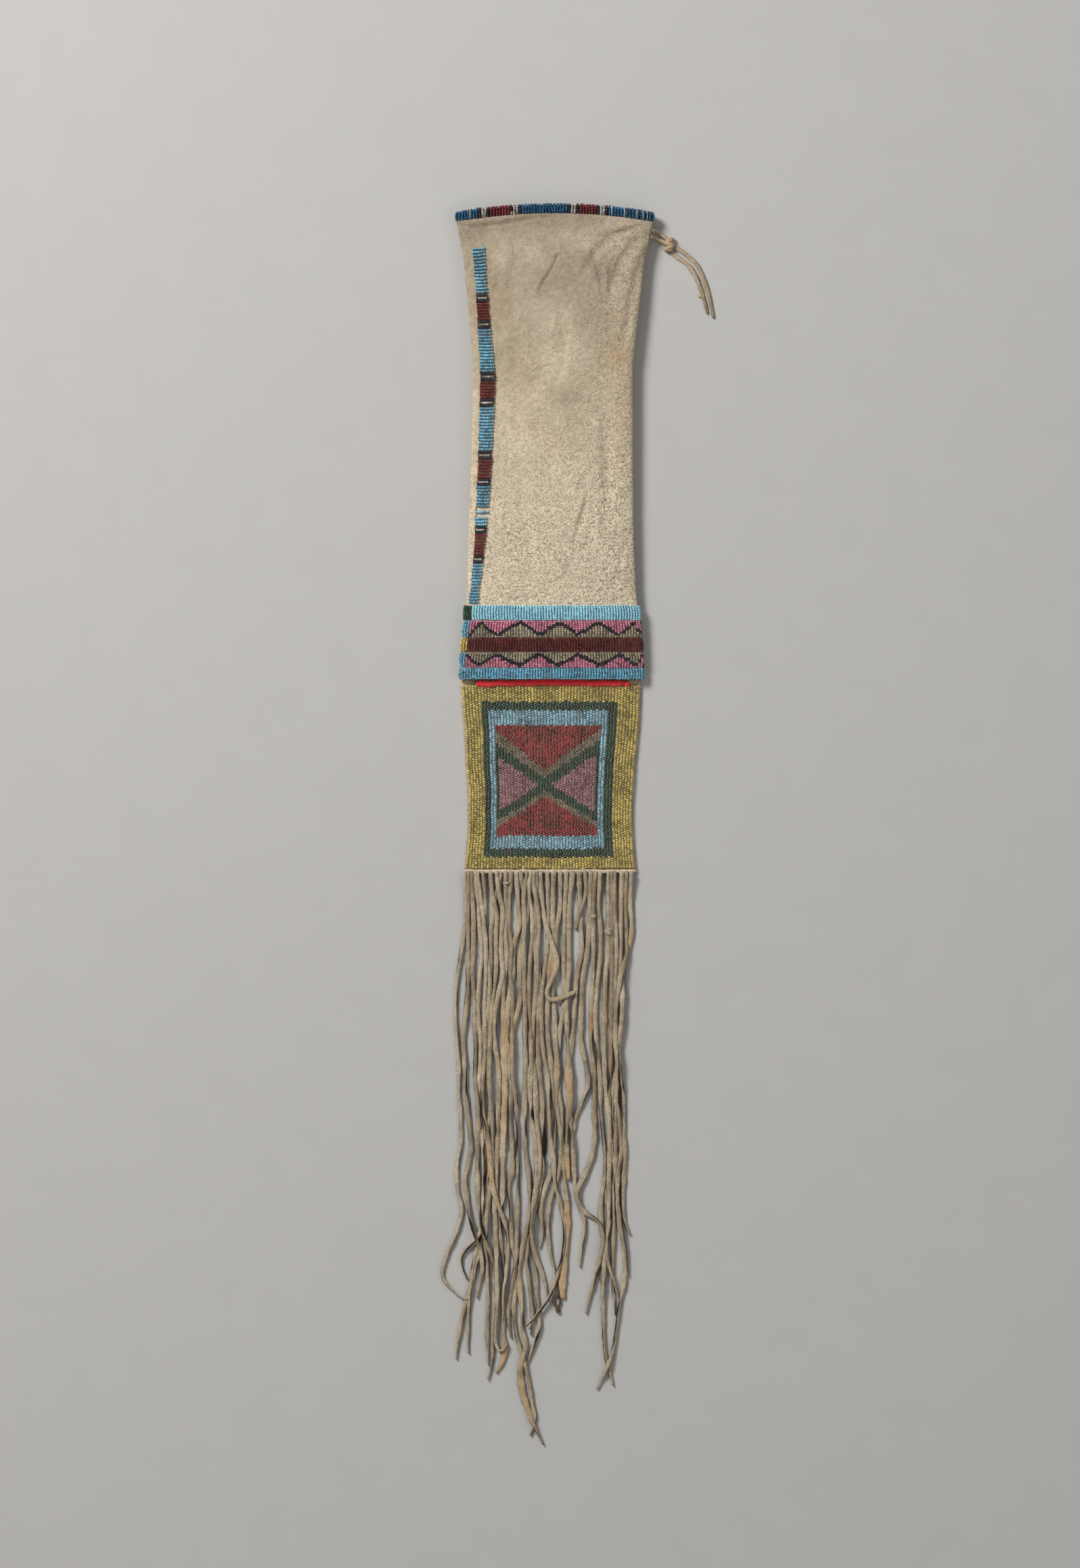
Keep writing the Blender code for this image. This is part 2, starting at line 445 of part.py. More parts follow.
def make_lane(name, top, height, colours, collection, frame):
    """One lane of beads wrapped round the pouch: a ring that swells between its two rows of stitches."""
    angles = ring_angles()

    def ring(share_of, inside=False):
        points = []
        for j, angle in enumerate(angles):
            share = share_of(j)
            out = CLEARANCE if inside else CLEARANCE + BEAD_THICKNESS - LANE_SWELL * (2 * share - 1) ** 2
            points.append(round_pouch(angle, top + share * height, out))
        return points

    def zigzag(offset):
        half = ZIGZAG_THICKNESS / 2 / height
        low = ZIGZAG_REACH + half
        starts_low = colours[0] == "pink"
        return lambda j: (low if (j % 2 == 0) != starts_low else 1 - low) + offset * half

    if len(colours) == 1:
        shares = [lambda j: 0.0, lambda j: 0.5, lambda j: 1.0]
    else:
        shares = [lambda j: 0.0, zigzag(-1), zigzag(1), lambda j: 1.0]
    rings = [ring(lambda j: 0.0, True)] + [ring(share) for share in shares]
    rings += [ring(lambda j: 1.0, True), ring(lambda j: 0.5, True)]

    def colour_of(i, _):
        return max(0, min(len(colours) - 1, i - 1))

    mesh = loft(name, rings, turn=True, colour_of=colour_of)
    place(name, mesh, [bead_finish(name, c) for c in colours], collection, frame)


def make_band(collection, frame):
    """The five lanes, one below the other."""
    top = BAND_TOP
    for number, (height, colours) in enumerate(zip(LANE_HEIGHTS, LANE_COLOURS), 1):
        make_lane(f"band_lane_{number}", top, height, colours, collection, frame)
        top += height + CLEARANCE


def new_curve(name, flat, cap=True):
    """An empty curve, flat for outlines and otherwise for tubes and strips."""
    curve = bpy.data.curves.new(name, "CURVE")
    curve.dimensions = "2D" if flat else "3D"
    if flat:
        curve.fill_mode = "BOTH"
    curve.use_fill_caps = cap and not flat
    return curve


def add_line(curve, points, closed=False, tilt=0.0):
    """A line of straight runs through points in millimetres."""
    spline = curve.splines.new("POLY")
    spline.points.add(len(points) - 1)
    for made, point in zip(spline.points, points):
        made.co = (*(Vector((*point, 0.0)[:3]) * MM), 1.0)
        made.tilt = tilt
    spline.use_cyclic_u = closed


def make_plate(name, outlines, lift, thickness, material, collection, frame):
    """A flat piece with the first outline round it and the others as holes."""
    curve = new_curve(name, flat=True)
    curve.extrude = thickness / 2 * MM
    for outline in outlines:
        add_line(curve, outline, closed=True)
    made = place(name, curve, [material], collection, frame)
    made.location.z = (lift + thickness / 2) * MM


def make_piping(collection, frame):
    """The red wool yarn that covers the seam between pouch and panel."""
    curve = new_curve("red_wool_piping", flat=False)
    curve.bevel_depth = PIPING_DIAMETER / 2 * MM
    curve.bevel_resolution = 1
    down = POUCH_LENGTH + CLEARANCE + PIPING_DIAMETER / 2 + PIPING_WAVE
    up = BEADWORK_LIFT + PIPING_DIAMETER / 2
    count = 4 * PIPING_WAVES
    points = []
    for k in range(count + 1):
        across = PIPING_LEFT + (PIPING_RIGHT - PIPING_LEFT) * k / count
        points.append((across, -down + PIPING_WAVE * math.sin(math.pi / 2 * k), up))
    add_line(curve, points)
    place("red_wool_piping", curve, [finish("red_wool", WOOL_COLOUR, WOOL_ROUGHNESS)], collection, frame)


def panel_side(down, right):
    """Where the beadwork's left or right side lies at this distance down."""
    lefts, rights = zip(*PANEL_EDGES)
    return float(np.interp((down - BEADWORK_TOP) / BEADWORK_LENGTH, PANEL_SHARES, rights if right else lefts))


def frame_outline(widths, grow=0.0):
    """The outline that lies inside the beadwork's edge by these widths at left, right, top and bottom."""
    left, right, top, bottom = (width - grow for width in widths)
    high, low = BEADWORK_TOP + top, BEADWORK_BOTTOM - bottom
    between = [BEADWORK_TOP + share * BEADWORK_LENGTH for share in PANEL_SHARES]
    downs = [high] + [down for down in between if high < down < low] + [low]
    points = [(panel_side(down, False) + left, -down) for down in downs]
    return points + [(panel_side(down, True) - right, -down) for down in downs[::-1]]


def inset(outline, by):
    """The outline moved inwards by a distance, with its corners kept."""
    points = [Vector(point) for point in outline]
    area = sum(a.x * b.y - b.x * a.y for a, b in zip(points, points[1:] + points[:1]))
    turn = 1.0 if area > 0 else -1.0
    moved = []
    for i, point in enumerate(points):
        before = (point - points[i - 1]).normalized()
        after = (points[(i + 1) % len(points)] - point).normalized()
        normals = [Vector((-side.y, side.x)) * turn for side in (before, after)]
        middle = (normals[0] + normals[1]).normalized()
        moved.append(point + middle * (by / max(LEAST_CORNER, middle.dot(normals[0]))))
    return moved


def make_field(widths, collection, frame):
    """The crossed bands and triangles in the middle of the panel, each a field of one colour."""
    top, bottom = BEADWORK_TOP + widths[2], BEADWORK_BOTTOM - widths[3]
    stations = [BEADWORK_TOP + share * BEADWORK_LENGTH for share in PANEL_SHARES]

    def run(right, high, low):
        downs = [high] + [down for down in stations if high < down < low] + [low]
        edge = -widths[1] if right else widths[0]
        return [(panel_side(down, right) + edge, -down) for down in downs]

    height = bottom - top
    lefts, rights = ([top + share * height for share in side] for side in (FIELD_LEFT, FIELD_RIGHT))
    middle = [(FIELD_MIDDLE_ACROSS, -top - share * height) for share in FIELD_MIDDLE]
    waist = [(FIELD_MIDDLE_ACROSS + side * CROSS_WAIST, -top - CROSS_WAIST_SHARE * height) for side in (-1, 1)]

    def band(i):
        return run(True, rights[i], rights[i + 1]), run(False, lefts[i], lefts[i + 1])[::-1]

    right_upper, left_upper = band(0)
    right_high, left_high = band(1)
    right_pink, left_pink = band(2)
    right_low, left_low = band(3)
    right_lower, left_lower = band(4)
    cross = right_high + [waist[1]] + right_low + [middle[2]] + left_low + [waist[0]] + left_high + [middle[1]]
    red_upper = run(True, top, rights[0]) + [middle[0]] + run(False, top, lefts[0])[::-1]
    red_lower = run(True, rights[5], bottom) + run(False, lefts[5], bottom)[::-1] + [middle[3]]
    fields = [
        ("panel_red_upper", "red", red_upper),
        ("panel_grey_upper", "grey", right_upper + [middle[1]] + left_upper + [middle[0]]),
        ("panel_green_cross", "green", cross),
        ("panel_pink_left", "dusty_pink", left_pink + [waist[0]]),
        ("panel_pink_right", "dusty_pink", right_pink + [waist[1]]),
        ("panel_grey_lower", "grey", right_lower + [middle[3]] + left_lower + [middle[2]]),
        ("panel_red_lower", "red", red_lower),
    ]
    for name, colour, outline in fields:
        shape = inset(outline, CLEARANCE / 2)
        make_plate(name, [shape], BEADWORK_LIFT, BEAD_THICKNESS, bead_finish(name, colour), collection, frame)


def make_panel(collection, frame):
    """The panel's hide, its three nested frames and the field inside them."""
    margin = (-PANEL_HIDE_MARGIN, -PANEL_HIDE_MARGIN, POUCH_LENGTH + CLEARANCE - BEADWORK_TOP, -CLEARANCE)
    hide = frame_outline(margin)
    make_plate("panel_hide", [hide], 0.0, PANEL_HIDE, hide_finish("panel"), collection, frame)
    inside = (0.0, 0.0, 0.0, 0.0)
    outer = frame_outline(inside)
    for (name, colour), widths in zip(FRAMES, FRAME_WIDTHS):
        inside = tuple(a + b for a, b in zip(inside, widths))
        hole = frame_outline(inside, CLEARANCE / 2)
        make_plate(name, [outer, hole], BEADWORK_LIFT, BEAD_THICKNESS, bead_finish(name, colour), collection, frame)
        outer = frame_outline(inside, -CLEARANCE / 2)
    make_field(inside, collection, frame)


def make_header(collection, frame):
    """The strip of hide that the thongs are pulled through."""
    left = panel_side(BEADWORK_BOTTOM, False) - PANEL_HIDE_MARGIN
    right = panel_side(BEADWORK_BOTTOM, True) + PANEL_HIDE_MARGIN
    outline = [(left, -HEADER_TOP), (right, -HEADER_TOP), (right, -HEADER_BOTTOM), (left, -HEADER_BOTTOM)]
    make_plate("fringe_header", [outline], 0.0, HEADER_THICKNESS, hide_finish("header"), collection, frame)


def smooth_course(chosen):
    """A smooth line through the chosen points: a piece of a cubic between each two."""
    points = [np.array(point, float) for point in chosen]
    line = []
    for i in range(len(points) - 1):
        a, b, c, d = (points[min(max(j, 0), len(points) - 1)] for j in (i - 1, i, i + 1, i + 2))
        for t in np.arange(COURSE_SMOOTHING) / COURSE_SMOOTHING:
            curve = 2 * b + (c - a) * t + (2 * a - 5 * b + 4 * c - d) * t**2 + (3 * b - a - 3 * c + d) * t**3
            line.append(curve / 2)
    return np.array(line + [points[-1]])


def thin_course(line, tolerance):
    """The fewest points of the line that stay within the tolerance of it."""
    if len(line) < 3:
        return line
    start, end = line[0], line[-1]
    along = (end - start) / max(1e-9, np.linalg.norm(end - start))
    off = line - start
    away = np.linalg.norm(off - np.outer(off @ along, along), axis=1)
    worst = int(away.argmax())
    if away[worst] <= tolerance:
        return np.array([start, end])
    first = thin_course(line[: worst + 1], tolerance)
    return np.concatenate([first[:-1], thin_course(line[worst:], tolerance)])


def along_runs(points, step):
    """The points, and more between them so that no two are further apart than the step."""
    found = [points[:1]]
    for a, b in zip(points, points[1:]):
        count = max(1, math.ceil(np.linalg.norm(b[:2] - a[:2]) / step))
        found.append(a + (b - a) * (np.arange(1, count + 1) / count)[:, None])
    return np.concatenate(found)


def laid_over(line, laid, width, thickness):
    """The strip's middle line, lifted wherever it crosses the strips that are already laid."""
    line = along_runs(line, COURSE_STEP)
    floor = thickness / 2
    steps = np.linalg.norm(np.diff(line, axis=0), axis=1)
    run = np.concatenate([[0.0], np.cumsum(steps)])
    heights = np.maximum(floor, THONG_START_HEIGHT * (1 - run / THONG_START_FALL))
    for i, point in enumerate(line):
        gap = width + LAY_GAP - np.linalg.norm(laid[:, :2] - point, axis=1)
        climb = np.clip(gap / thickness, 0.0, 1.0) * (thickness + LAY_GAP) + LAY_TOLERANCE
        heights[i] = max(heights[i], (laid[:, 2] + climb)[gap > 0].max(initial=floor))
    for i, step in enumerate(steps, 1):
        heights[i] = max(heights[i], heights[i - 1] - LAY_SLOPE * step)
    for i, step in reversed(list(enumerate(steps))):
        heights[i] = max(heights[i], heights[i + 1] - LAY_SLOPE * step)
    return thin_course(np.column_stack([line, heights]), LAY_TOLERANCE)


def make_thong(name, line, width, thickness, material, collection, frame):
    """A flat strip of hide along its line: a curve whose flat section lies down."""
    curve = new_curve(name, flat=False)
    curve.twist_mode = "Z_UP"
    curve.extrude = (width - thickness) / 2 * MM
    curve.bevel_depth = thickness / 2 * MM
    curve.bevel_resolution = 0
    add_line(curve, line, tilt=math.pi / 2)
    return place(name, curve, [material], collection, frame)


def make_fringe(collection, frame):
    """The thongs, laid one after another, each over those that it crosses."""
    laid = np.empty((0, 3))
    start = HEADER_BOTTOM + THONG_START
    hide = hide_finish("thong")
    for number, chosen in enumerate(FRINGE_COURSES, 1):
        course = smooth_course([(across, -start - down) for across, down in chosen])
        line = laid_over(thin_course(course, COURSE_TOLERANCE), laid, THONG_WIDTH, THONG_THICKNESS)
        make_thong(f"thong_{number:02d}", line, THONG_WIDTH, THONG_THICKNESS, hide, collection, frame)
        laid = np.concatenate([laid, along_runs(line, COURSE_STEP)])


def as_mesh(made, collection, frame):
    """The object made a mesh, with the curve's caps welded to its sides."""
    graph = bpy.context.evaluated_depsgraph_get()
    graph.update()
    mesh = bpy.data.meshes.new_from_object(made.evaluated_get(graph))
    bm = bmesh.new()
    bm.from_mesh(mesh)
    bmesh.ops.remove_doubles(bm, verts=bm.verts, dist=FACE_JOIN)
    bmesh.ops.recalc_face_normals(bm, faces=bm.faces)
    bm.to_mesh(mesh)
    bm.free()
    name = made.name
    bpy.data.objects.remove(made, do_unlink=True)
    made = bpy.data.objects.new(name, mesh)
    collection.objects.link(made)
    made.parent = frame
    return made


def make_tie(collection, cutters, frame):
    """The knot with its two legs into the hide's edge, and the two tails that hang from it."""
    wide, tall, deep = KNOT_SIZE
    middle = Vector((KNOT_PLACE[0], -KNOT_PLACE[1], deep / 2))
    bm = bmesh.new()
    bmesh.ops.create_uvsphere(bm, u_segments=KNOT_SEGMENTS, v_segments=KNOT_RINGS, radius=0.5 * MM)
    bmesh.ops.scale(bm, vec=(wide, tall, deep), verts=bm.verts)
    bmesh.ops.translate(bm, vec=middle * MM, verts=bm.verts)
    mesh = bpy.data.meshes.new("tie_knot")
    bm.to_mesh(mesh)
    bm.free()
    mesh.shade_smooth()
    hide = hide_finish("tie")
    knot = place("tie_knot", mesh, [hide], collection, frame)
    for number, down in enumerate(LEG_HOLES, 1):
        edge = Vector(round_pouch(0.0, down, CLEARANCE))
        curve = new_curve(f"tie_leg_{number}", flat=False)
        curve.bevel_depth = LEG_DIAMETER / 2 * MM
        curve.bevel_resolution = 1
        add_line(curve, [edge, edge + LEG_LEAD, middle])
        leg = as_mesh(place(f"tie_leg_{number}", curve, [hide], cutters, frame), cutters, frame)
        leg.hide_render = True
        leg.display_type = "WIRE"
        join = knot.modifiers.new(f"leg_{number}", "BOOLEAN")
        join.operation = "UNION"
        join.object = leg
    for name, chosen in zip(TIE_TAILS, TIE_COURSES):
        course = thin_course(smooth_course([(across, -down) for across, down in chosen]), COURSE_TOLERANCE / 2)
        line = [(x, y, TIE_THICKNESS / 2) for x, y in course]
        make_thong(name, line, TIE_WIDTH, TIE_THICKNESS, hide, collection, frame)


def main():
    """Build the bag in a frame whose origin lies under the middle of the bag without its thongs."""
    collection, cutters = clear_scene()
    frame = bpy.data.objects.new("bag_frame", None)
    collection.objects.link(frame)
    frame.location.y = (BAG_TOP + HEADER_BOTTOM) / 2 * MM
    make_pouch(collection, frame)
    make_rim(collection, frame)
    make_strip("side_strip_front", 0.0, collection, frame)
    make_strip("side_strip_back", math.pi, collection, frame)
    make_band(collection, frame)
    make_piping(collection, frame)
    make_panel(collection, frame)
    make_header(collection, frame)
    make_fringe(collection, frame)
    make_tie(collection, cutters, frame)
    bpy.context.view_layer.update()


main()
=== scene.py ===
"""A beaded hide pipe bag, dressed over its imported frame: camera, fringe and tie, then hide and beadwork.

All shapes are worked out in millimetres in the bag's own measure: across from the middle of the mouth, down
along the bag from the line of the mouth's corners, and up from the floor it lies on.
"""

import logging
import math
from dataclasses import dataclass, field
from enum import Enum
from functools import reduce
from typing import Callable, Iterable, Sequence

import bpy
import numpy as np
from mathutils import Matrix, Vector, noise
from mathutils.bvhtree import BVHTree
from numpy.random import Generator, default_rng


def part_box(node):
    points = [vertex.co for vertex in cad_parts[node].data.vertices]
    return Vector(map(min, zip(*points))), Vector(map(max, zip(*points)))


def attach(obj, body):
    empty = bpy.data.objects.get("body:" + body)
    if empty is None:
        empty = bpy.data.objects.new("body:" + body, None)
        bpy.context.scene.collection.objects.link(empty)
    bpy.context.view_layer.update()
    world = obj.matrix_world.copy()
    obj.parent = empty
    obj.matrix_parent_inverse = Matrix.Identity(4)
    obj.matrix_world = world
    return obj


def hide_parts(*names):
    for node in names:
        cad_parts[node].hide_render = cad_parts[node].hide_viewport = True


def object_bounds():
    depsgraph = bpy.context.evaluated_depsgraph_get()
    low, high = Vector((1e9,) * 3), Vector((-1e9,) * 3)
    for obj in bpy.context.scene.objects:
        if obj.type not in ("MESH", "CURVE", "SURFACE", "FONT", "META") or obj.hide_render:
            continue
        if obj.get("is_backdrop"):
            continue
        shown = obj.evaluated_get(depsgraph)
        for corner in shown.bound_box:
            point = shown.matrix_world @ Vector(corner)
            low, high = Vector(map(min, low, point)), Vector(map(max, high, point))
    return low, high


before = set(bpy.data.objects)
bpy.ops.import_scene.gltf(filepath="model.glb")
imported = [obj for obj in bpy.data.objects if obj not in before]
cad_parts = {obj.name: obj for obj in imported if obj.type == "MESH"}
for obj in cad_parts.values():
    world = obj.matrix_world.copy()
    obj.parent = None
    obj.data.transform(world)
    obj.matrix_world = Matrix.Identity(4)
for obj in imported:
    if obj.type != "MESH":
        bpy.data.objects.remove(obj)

log = logging.getLogger("pipe_bag")

MM = 0.001
BODY = "root"
CLEARANCE = 0.3
HEADER_BOTTOM = 486.0
MOUTH_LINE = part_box("fringe_header")[0].y / MM + HEADER_BOTTOM

IMAGE_HEIGHT = 2318
MM_PER_PIXEL = 0.5
IMAGE_MIDDLE = (-11.0, 419.5)

Array = np.ndarray
Socket = bpy.types.NodeSocket
Rgb = tuple[float, float, float]
Xyz = tuple[float, float, float]
Floats = tuple[float, ...]
Points = Sequence[tuple[float, float]]

UPWARD = (0.0, 0.0, 1.0)
AHEAD = (0.0, 1.0, 0.1)


def to_frame(points: Array) -> Array:
    """Rows of across, minus down and up in millimetres as x, y and z in metres of the row frame."""
    return (np.asarray(points, float) + (0.0, MOUTH_LINE, 0.0)) * MM


@np.vectorize
def wander(x: float, y: float, z: float = 0.0) -> float:
    """Smooth noise about zero at a place or many, the same at each run."""
    return noise.fractal(Vector((x, y, z)), 1.0, 2.0, 3)


def smoothstep(low: float, high: float, value: Array | float) -> Array | float:
    """Rise from 0 at low to 1 at high without a corner."""
    share = np.clip((np.asarray(value, float) - low) / (high - low), 0.0, 1.0)
    return share * share * (3 - 2 * share)


def linear(red: int, green: int, blue: int) -> Rgb:
    """Turn a colour as the eye names it, in 0 to 255, into the shader's linear values."""
    shares = (red / 255, green / 255, blue / 255)
    return tuple(((c + 0.055) / 1.055) ** 2.4 if c > 0.04 else c / 12.92 for c in shares)


def unit(rows: Array) -> Array:
    """Rows of directions, each made one long."""
    return rows / np.maximum(1e-9, np.linalg.norm(rows, axis=1))[:, None]


def runs(line: Array) -> Array:
    """How far along a line each of its points lies."""
    return np.concatenate([[0.0], np.cumsum(np.linalg.norm(np.diff(line, axis=0), axis=1))])


def bent(value: float, power: float) -> float:
    """A value whose size is raised to a power and whose sign stays."""
    return math.copysign(abs(value) ** power, value)


class Hue(Enum):
    """The bead colours on the bag."""

    BLUE = linear(8, 88, 128)
    # A brighter copy of LIGHT_BLUE for the band's top lane, standing for the light and highlights on it:
    # painted light.
    LIT_LIGHT_BLUE = linear(166, 226, 255)
    LIGHT_BLUE = linear(112, 176, 203)
    PALE_BLUE = linear(134, 180, 200)
    NAVY = linear(18, 16, 44)
    WHITE = linear(182, 172, 162)
    RED = linear(138, 26, 34)
    DARK_RED = linear(112, 22, 28)
    MAROON = linear(96, 14, 20)
    PINK = linear(216, 132, 156)
    DUSTY_PINK = linear(156, 108, 116)
    GREY = linear(164, 151, 129)
    TAUPE = linear(126, 112, 96)
    MUSTARD = linear(196, 174, 89)
    GREEN = linear(16, 60, 46)


class Shader:
    """A Principled material with the few node patterns that the finishes share."""

    def __init__(self, name: str) -> None:
        """Make the material and keep its tree.

        Args:
            name: The material's name.
        """
        self.material = bpy.data.materials.new(name)
        self.material.use_nodes = True
        self.tree = self.material.node_tree
        self.principled = self.tree.nodes["Principled BSDF"]
        self.place = self.tree.nodes.new("ShaderNodeTexCoord").outputs["Object"]

    def put(self, node: bpy.types.Node, socket: str | int, value: object) -> None:
        """Link a socket into a node's input, or write a constant there.

        Args:
            node: The node whose input is set.
            socket: The input's name or number.
            value: An output socket, or the constant.
        """
        if isinstance(value, Socket):
            self.tree.links.new(value, node.inputs[socket])
        else:
            node.inputs[socket].default_value = value

    def surface(self, **inputs: object) -> None:
        """Set the surface's own inputs, whose names have an underscore for each space."""
        for name, value in inputs.items():
            self.put(self.principled, name.replace("_", " "), value)

    def add(self, kind: str, inputs: dict[str | int, object], **settings: object) -> bpy.types.Node:
        """Add a node to the tree.

        Args:
            kind: The end of its type's name.
            inputs: Its inputs' sockets or constants, by name or number.
            **settings: Its own properties.

        Returns:
            The node.
        """
        node = self.tree.nodes.new("ShaderNode" + kind)
        for key, value in settings.items():
            setattr(node, key, value)
        for socket, value in inputs.items():
            self.put(node, socket, value)
        return node

    def noise(
        self, scale: float, detail: float = 2.0, distortion: float = 0.0, stretch: Xyz | None = None,
    ) -> Socket:
        """Noise over the object's own place.

        Args:
            scale: Waves per metre.
            detail: Octaves.
            distortion: How much the noise bends itself.
            stretch: Factors on x, y and z before the noise.

        Returns:
            The noise's value socket.
        """
        source = self.place
        if stretch:
            source = self.add("Mapping", {"Vector": source, "Scale": stretch}).outputs["Vector"]
        inputs = {"Vector": source, "Scale": scale, "Detail": detail, "Distortion": distortion}
        return self.add("TexNoise", inputs).outputs["Fac"]

    def attribute(self, name: str) -> Socket:
        """A number kept on the mesh's points."""
        return self.add("Attribute", {}, attribute_name=name).outputs["Fac"]

    def sums(self, operation: str, *values: object) -> Socket:
        """What a Math node makes of sockets and numbers."""
        return self.add("Math", dict(enumerate(values)), operation=operation).outputs[0]

    def times(self, *values: object) -> Socket:
        """The product of sockets and numbers."""
        return reduce(lambda one, other: self.sums("MULTIPLY", one, other), values)

    def ranged(
        self, value: Socket, low: float, high: float, to_low: float = 0.0, to_high: float = 1.0,
    ) -> Socket:
        """Map a value smoothly from the range of low to high to another one, and clamp it there."""
        inputs = dict(enumerate((value, low, high, to_low, to_high)))
        return self.add("MapRange", inputs, interpolation_type="SMOOTHSTEP").outputs[0]

    def mixed(self, share: object, *colours: object) -> Socket:
        """Two colours, sockets or red, green and blue, mixed with this share of the second one."""
        one, other = ((*c, 1.0) if isinstance(c, tuple) else c for c in colours)
        return self.add("Mix", {0: share, 6: one, 7: other}, data_type="RGBA").outputs[2]

    def bump(self, height: Socket, strength: float, distance: float) -> None:
        """Let a height, whose full size is the distance in metres, bend the surface's normal."""
        node = self.add("Bump", {"Strength": strength, "Distance": distance, "Height": height})
        self.surface(Normal=node.outputs["Normal"])


@dataclass(frozen=True)
class Finish:
    """A finish that is known by its name and mixed once."""

    name: str

    def material(self) -> bpy.types.Material:
        """The finish as a material.

        Returns:
            The material, new or as made before.
        """
        known = bpy.data.materials.get(self.name)
        if known:
            return known
        shader = Shader(self.name)
        self.mix(shader)
        return shader.material

    def mix(self, shader: Shader) -> None:
        """Set the shader's nodes; each kind of finish has its own way."""
        raise NotImplementedError


@dataclass(frozen=True)
class BeadGlass(Finish):
    """Glass seed beads of one colour, each a shade of its own."""

    colour: Rgb
    roughness: float = 0.28
    coat: float = 0.25
    spread: float = 0.5
    soil: float = 0.28
    dust: Rgb = linear(120, 104, 84)

    def mix(self, shader: Shader) -> None:
        """Glass from dark to light by the bead's own shade, with soil in patches.

        Args:
            shader: The shader to set.
        """
        shade = shader.attribute("shade")
        dark = tuple(c * (1 - self.spread) for c in self.colour)
        light = tuple(min(1.0, c * (1 + self.spread) + 0.01) for c in self.colour)
        colour = shader.mixed(shade, dark, light)
        soil = shader.ranged(shader.noise(160.0, 3.0), 0.45, 0.75, 0.0, self.soil)
        dusty = tuple(0.55 * c + 0.45 * d for c, d in zip(self.colour, self.dust))
        rough = shader.ranged(shade, 0.0, 1.0, self.roughness * 0.75, self.roughness * 1.3)
        shader.surface(Base_Color=shader.mixed(soil, colour, dusty), Roughness=rough)
        shader.surface(Coat_Weight=self.coat, Coat_Roughness=0.12)
        shader.bump(shader.noise(1400.0, 1.0), 0.12, 0.0002)


def bead_glass(hue: Hue) -> BeadGlass:
    """The glass of one bead colour.

    Args:
        hue: The colour.

    Returns:
        Its finish.
    """
    glossy = hue in (Hue.MAROON, Hue.RED, Hue.DARK_RED, Hue.NAVY, Hue.GREEN)
    # Little spread and soil keep the lit copy of light blue bright: painted light.
    spread, soil = {Hue.LIT_LIGHT_BLUE: (0.2, 0.1), Hue.RED: (0.75, 0.28)}.get(hue, (0.5, 0.28))
    rough = 0.22 if glossy else 0.3
    return BeadGlass(f"beads_{hue.name.lower()}", hue.value, rough, spread=spread, soil=soil)


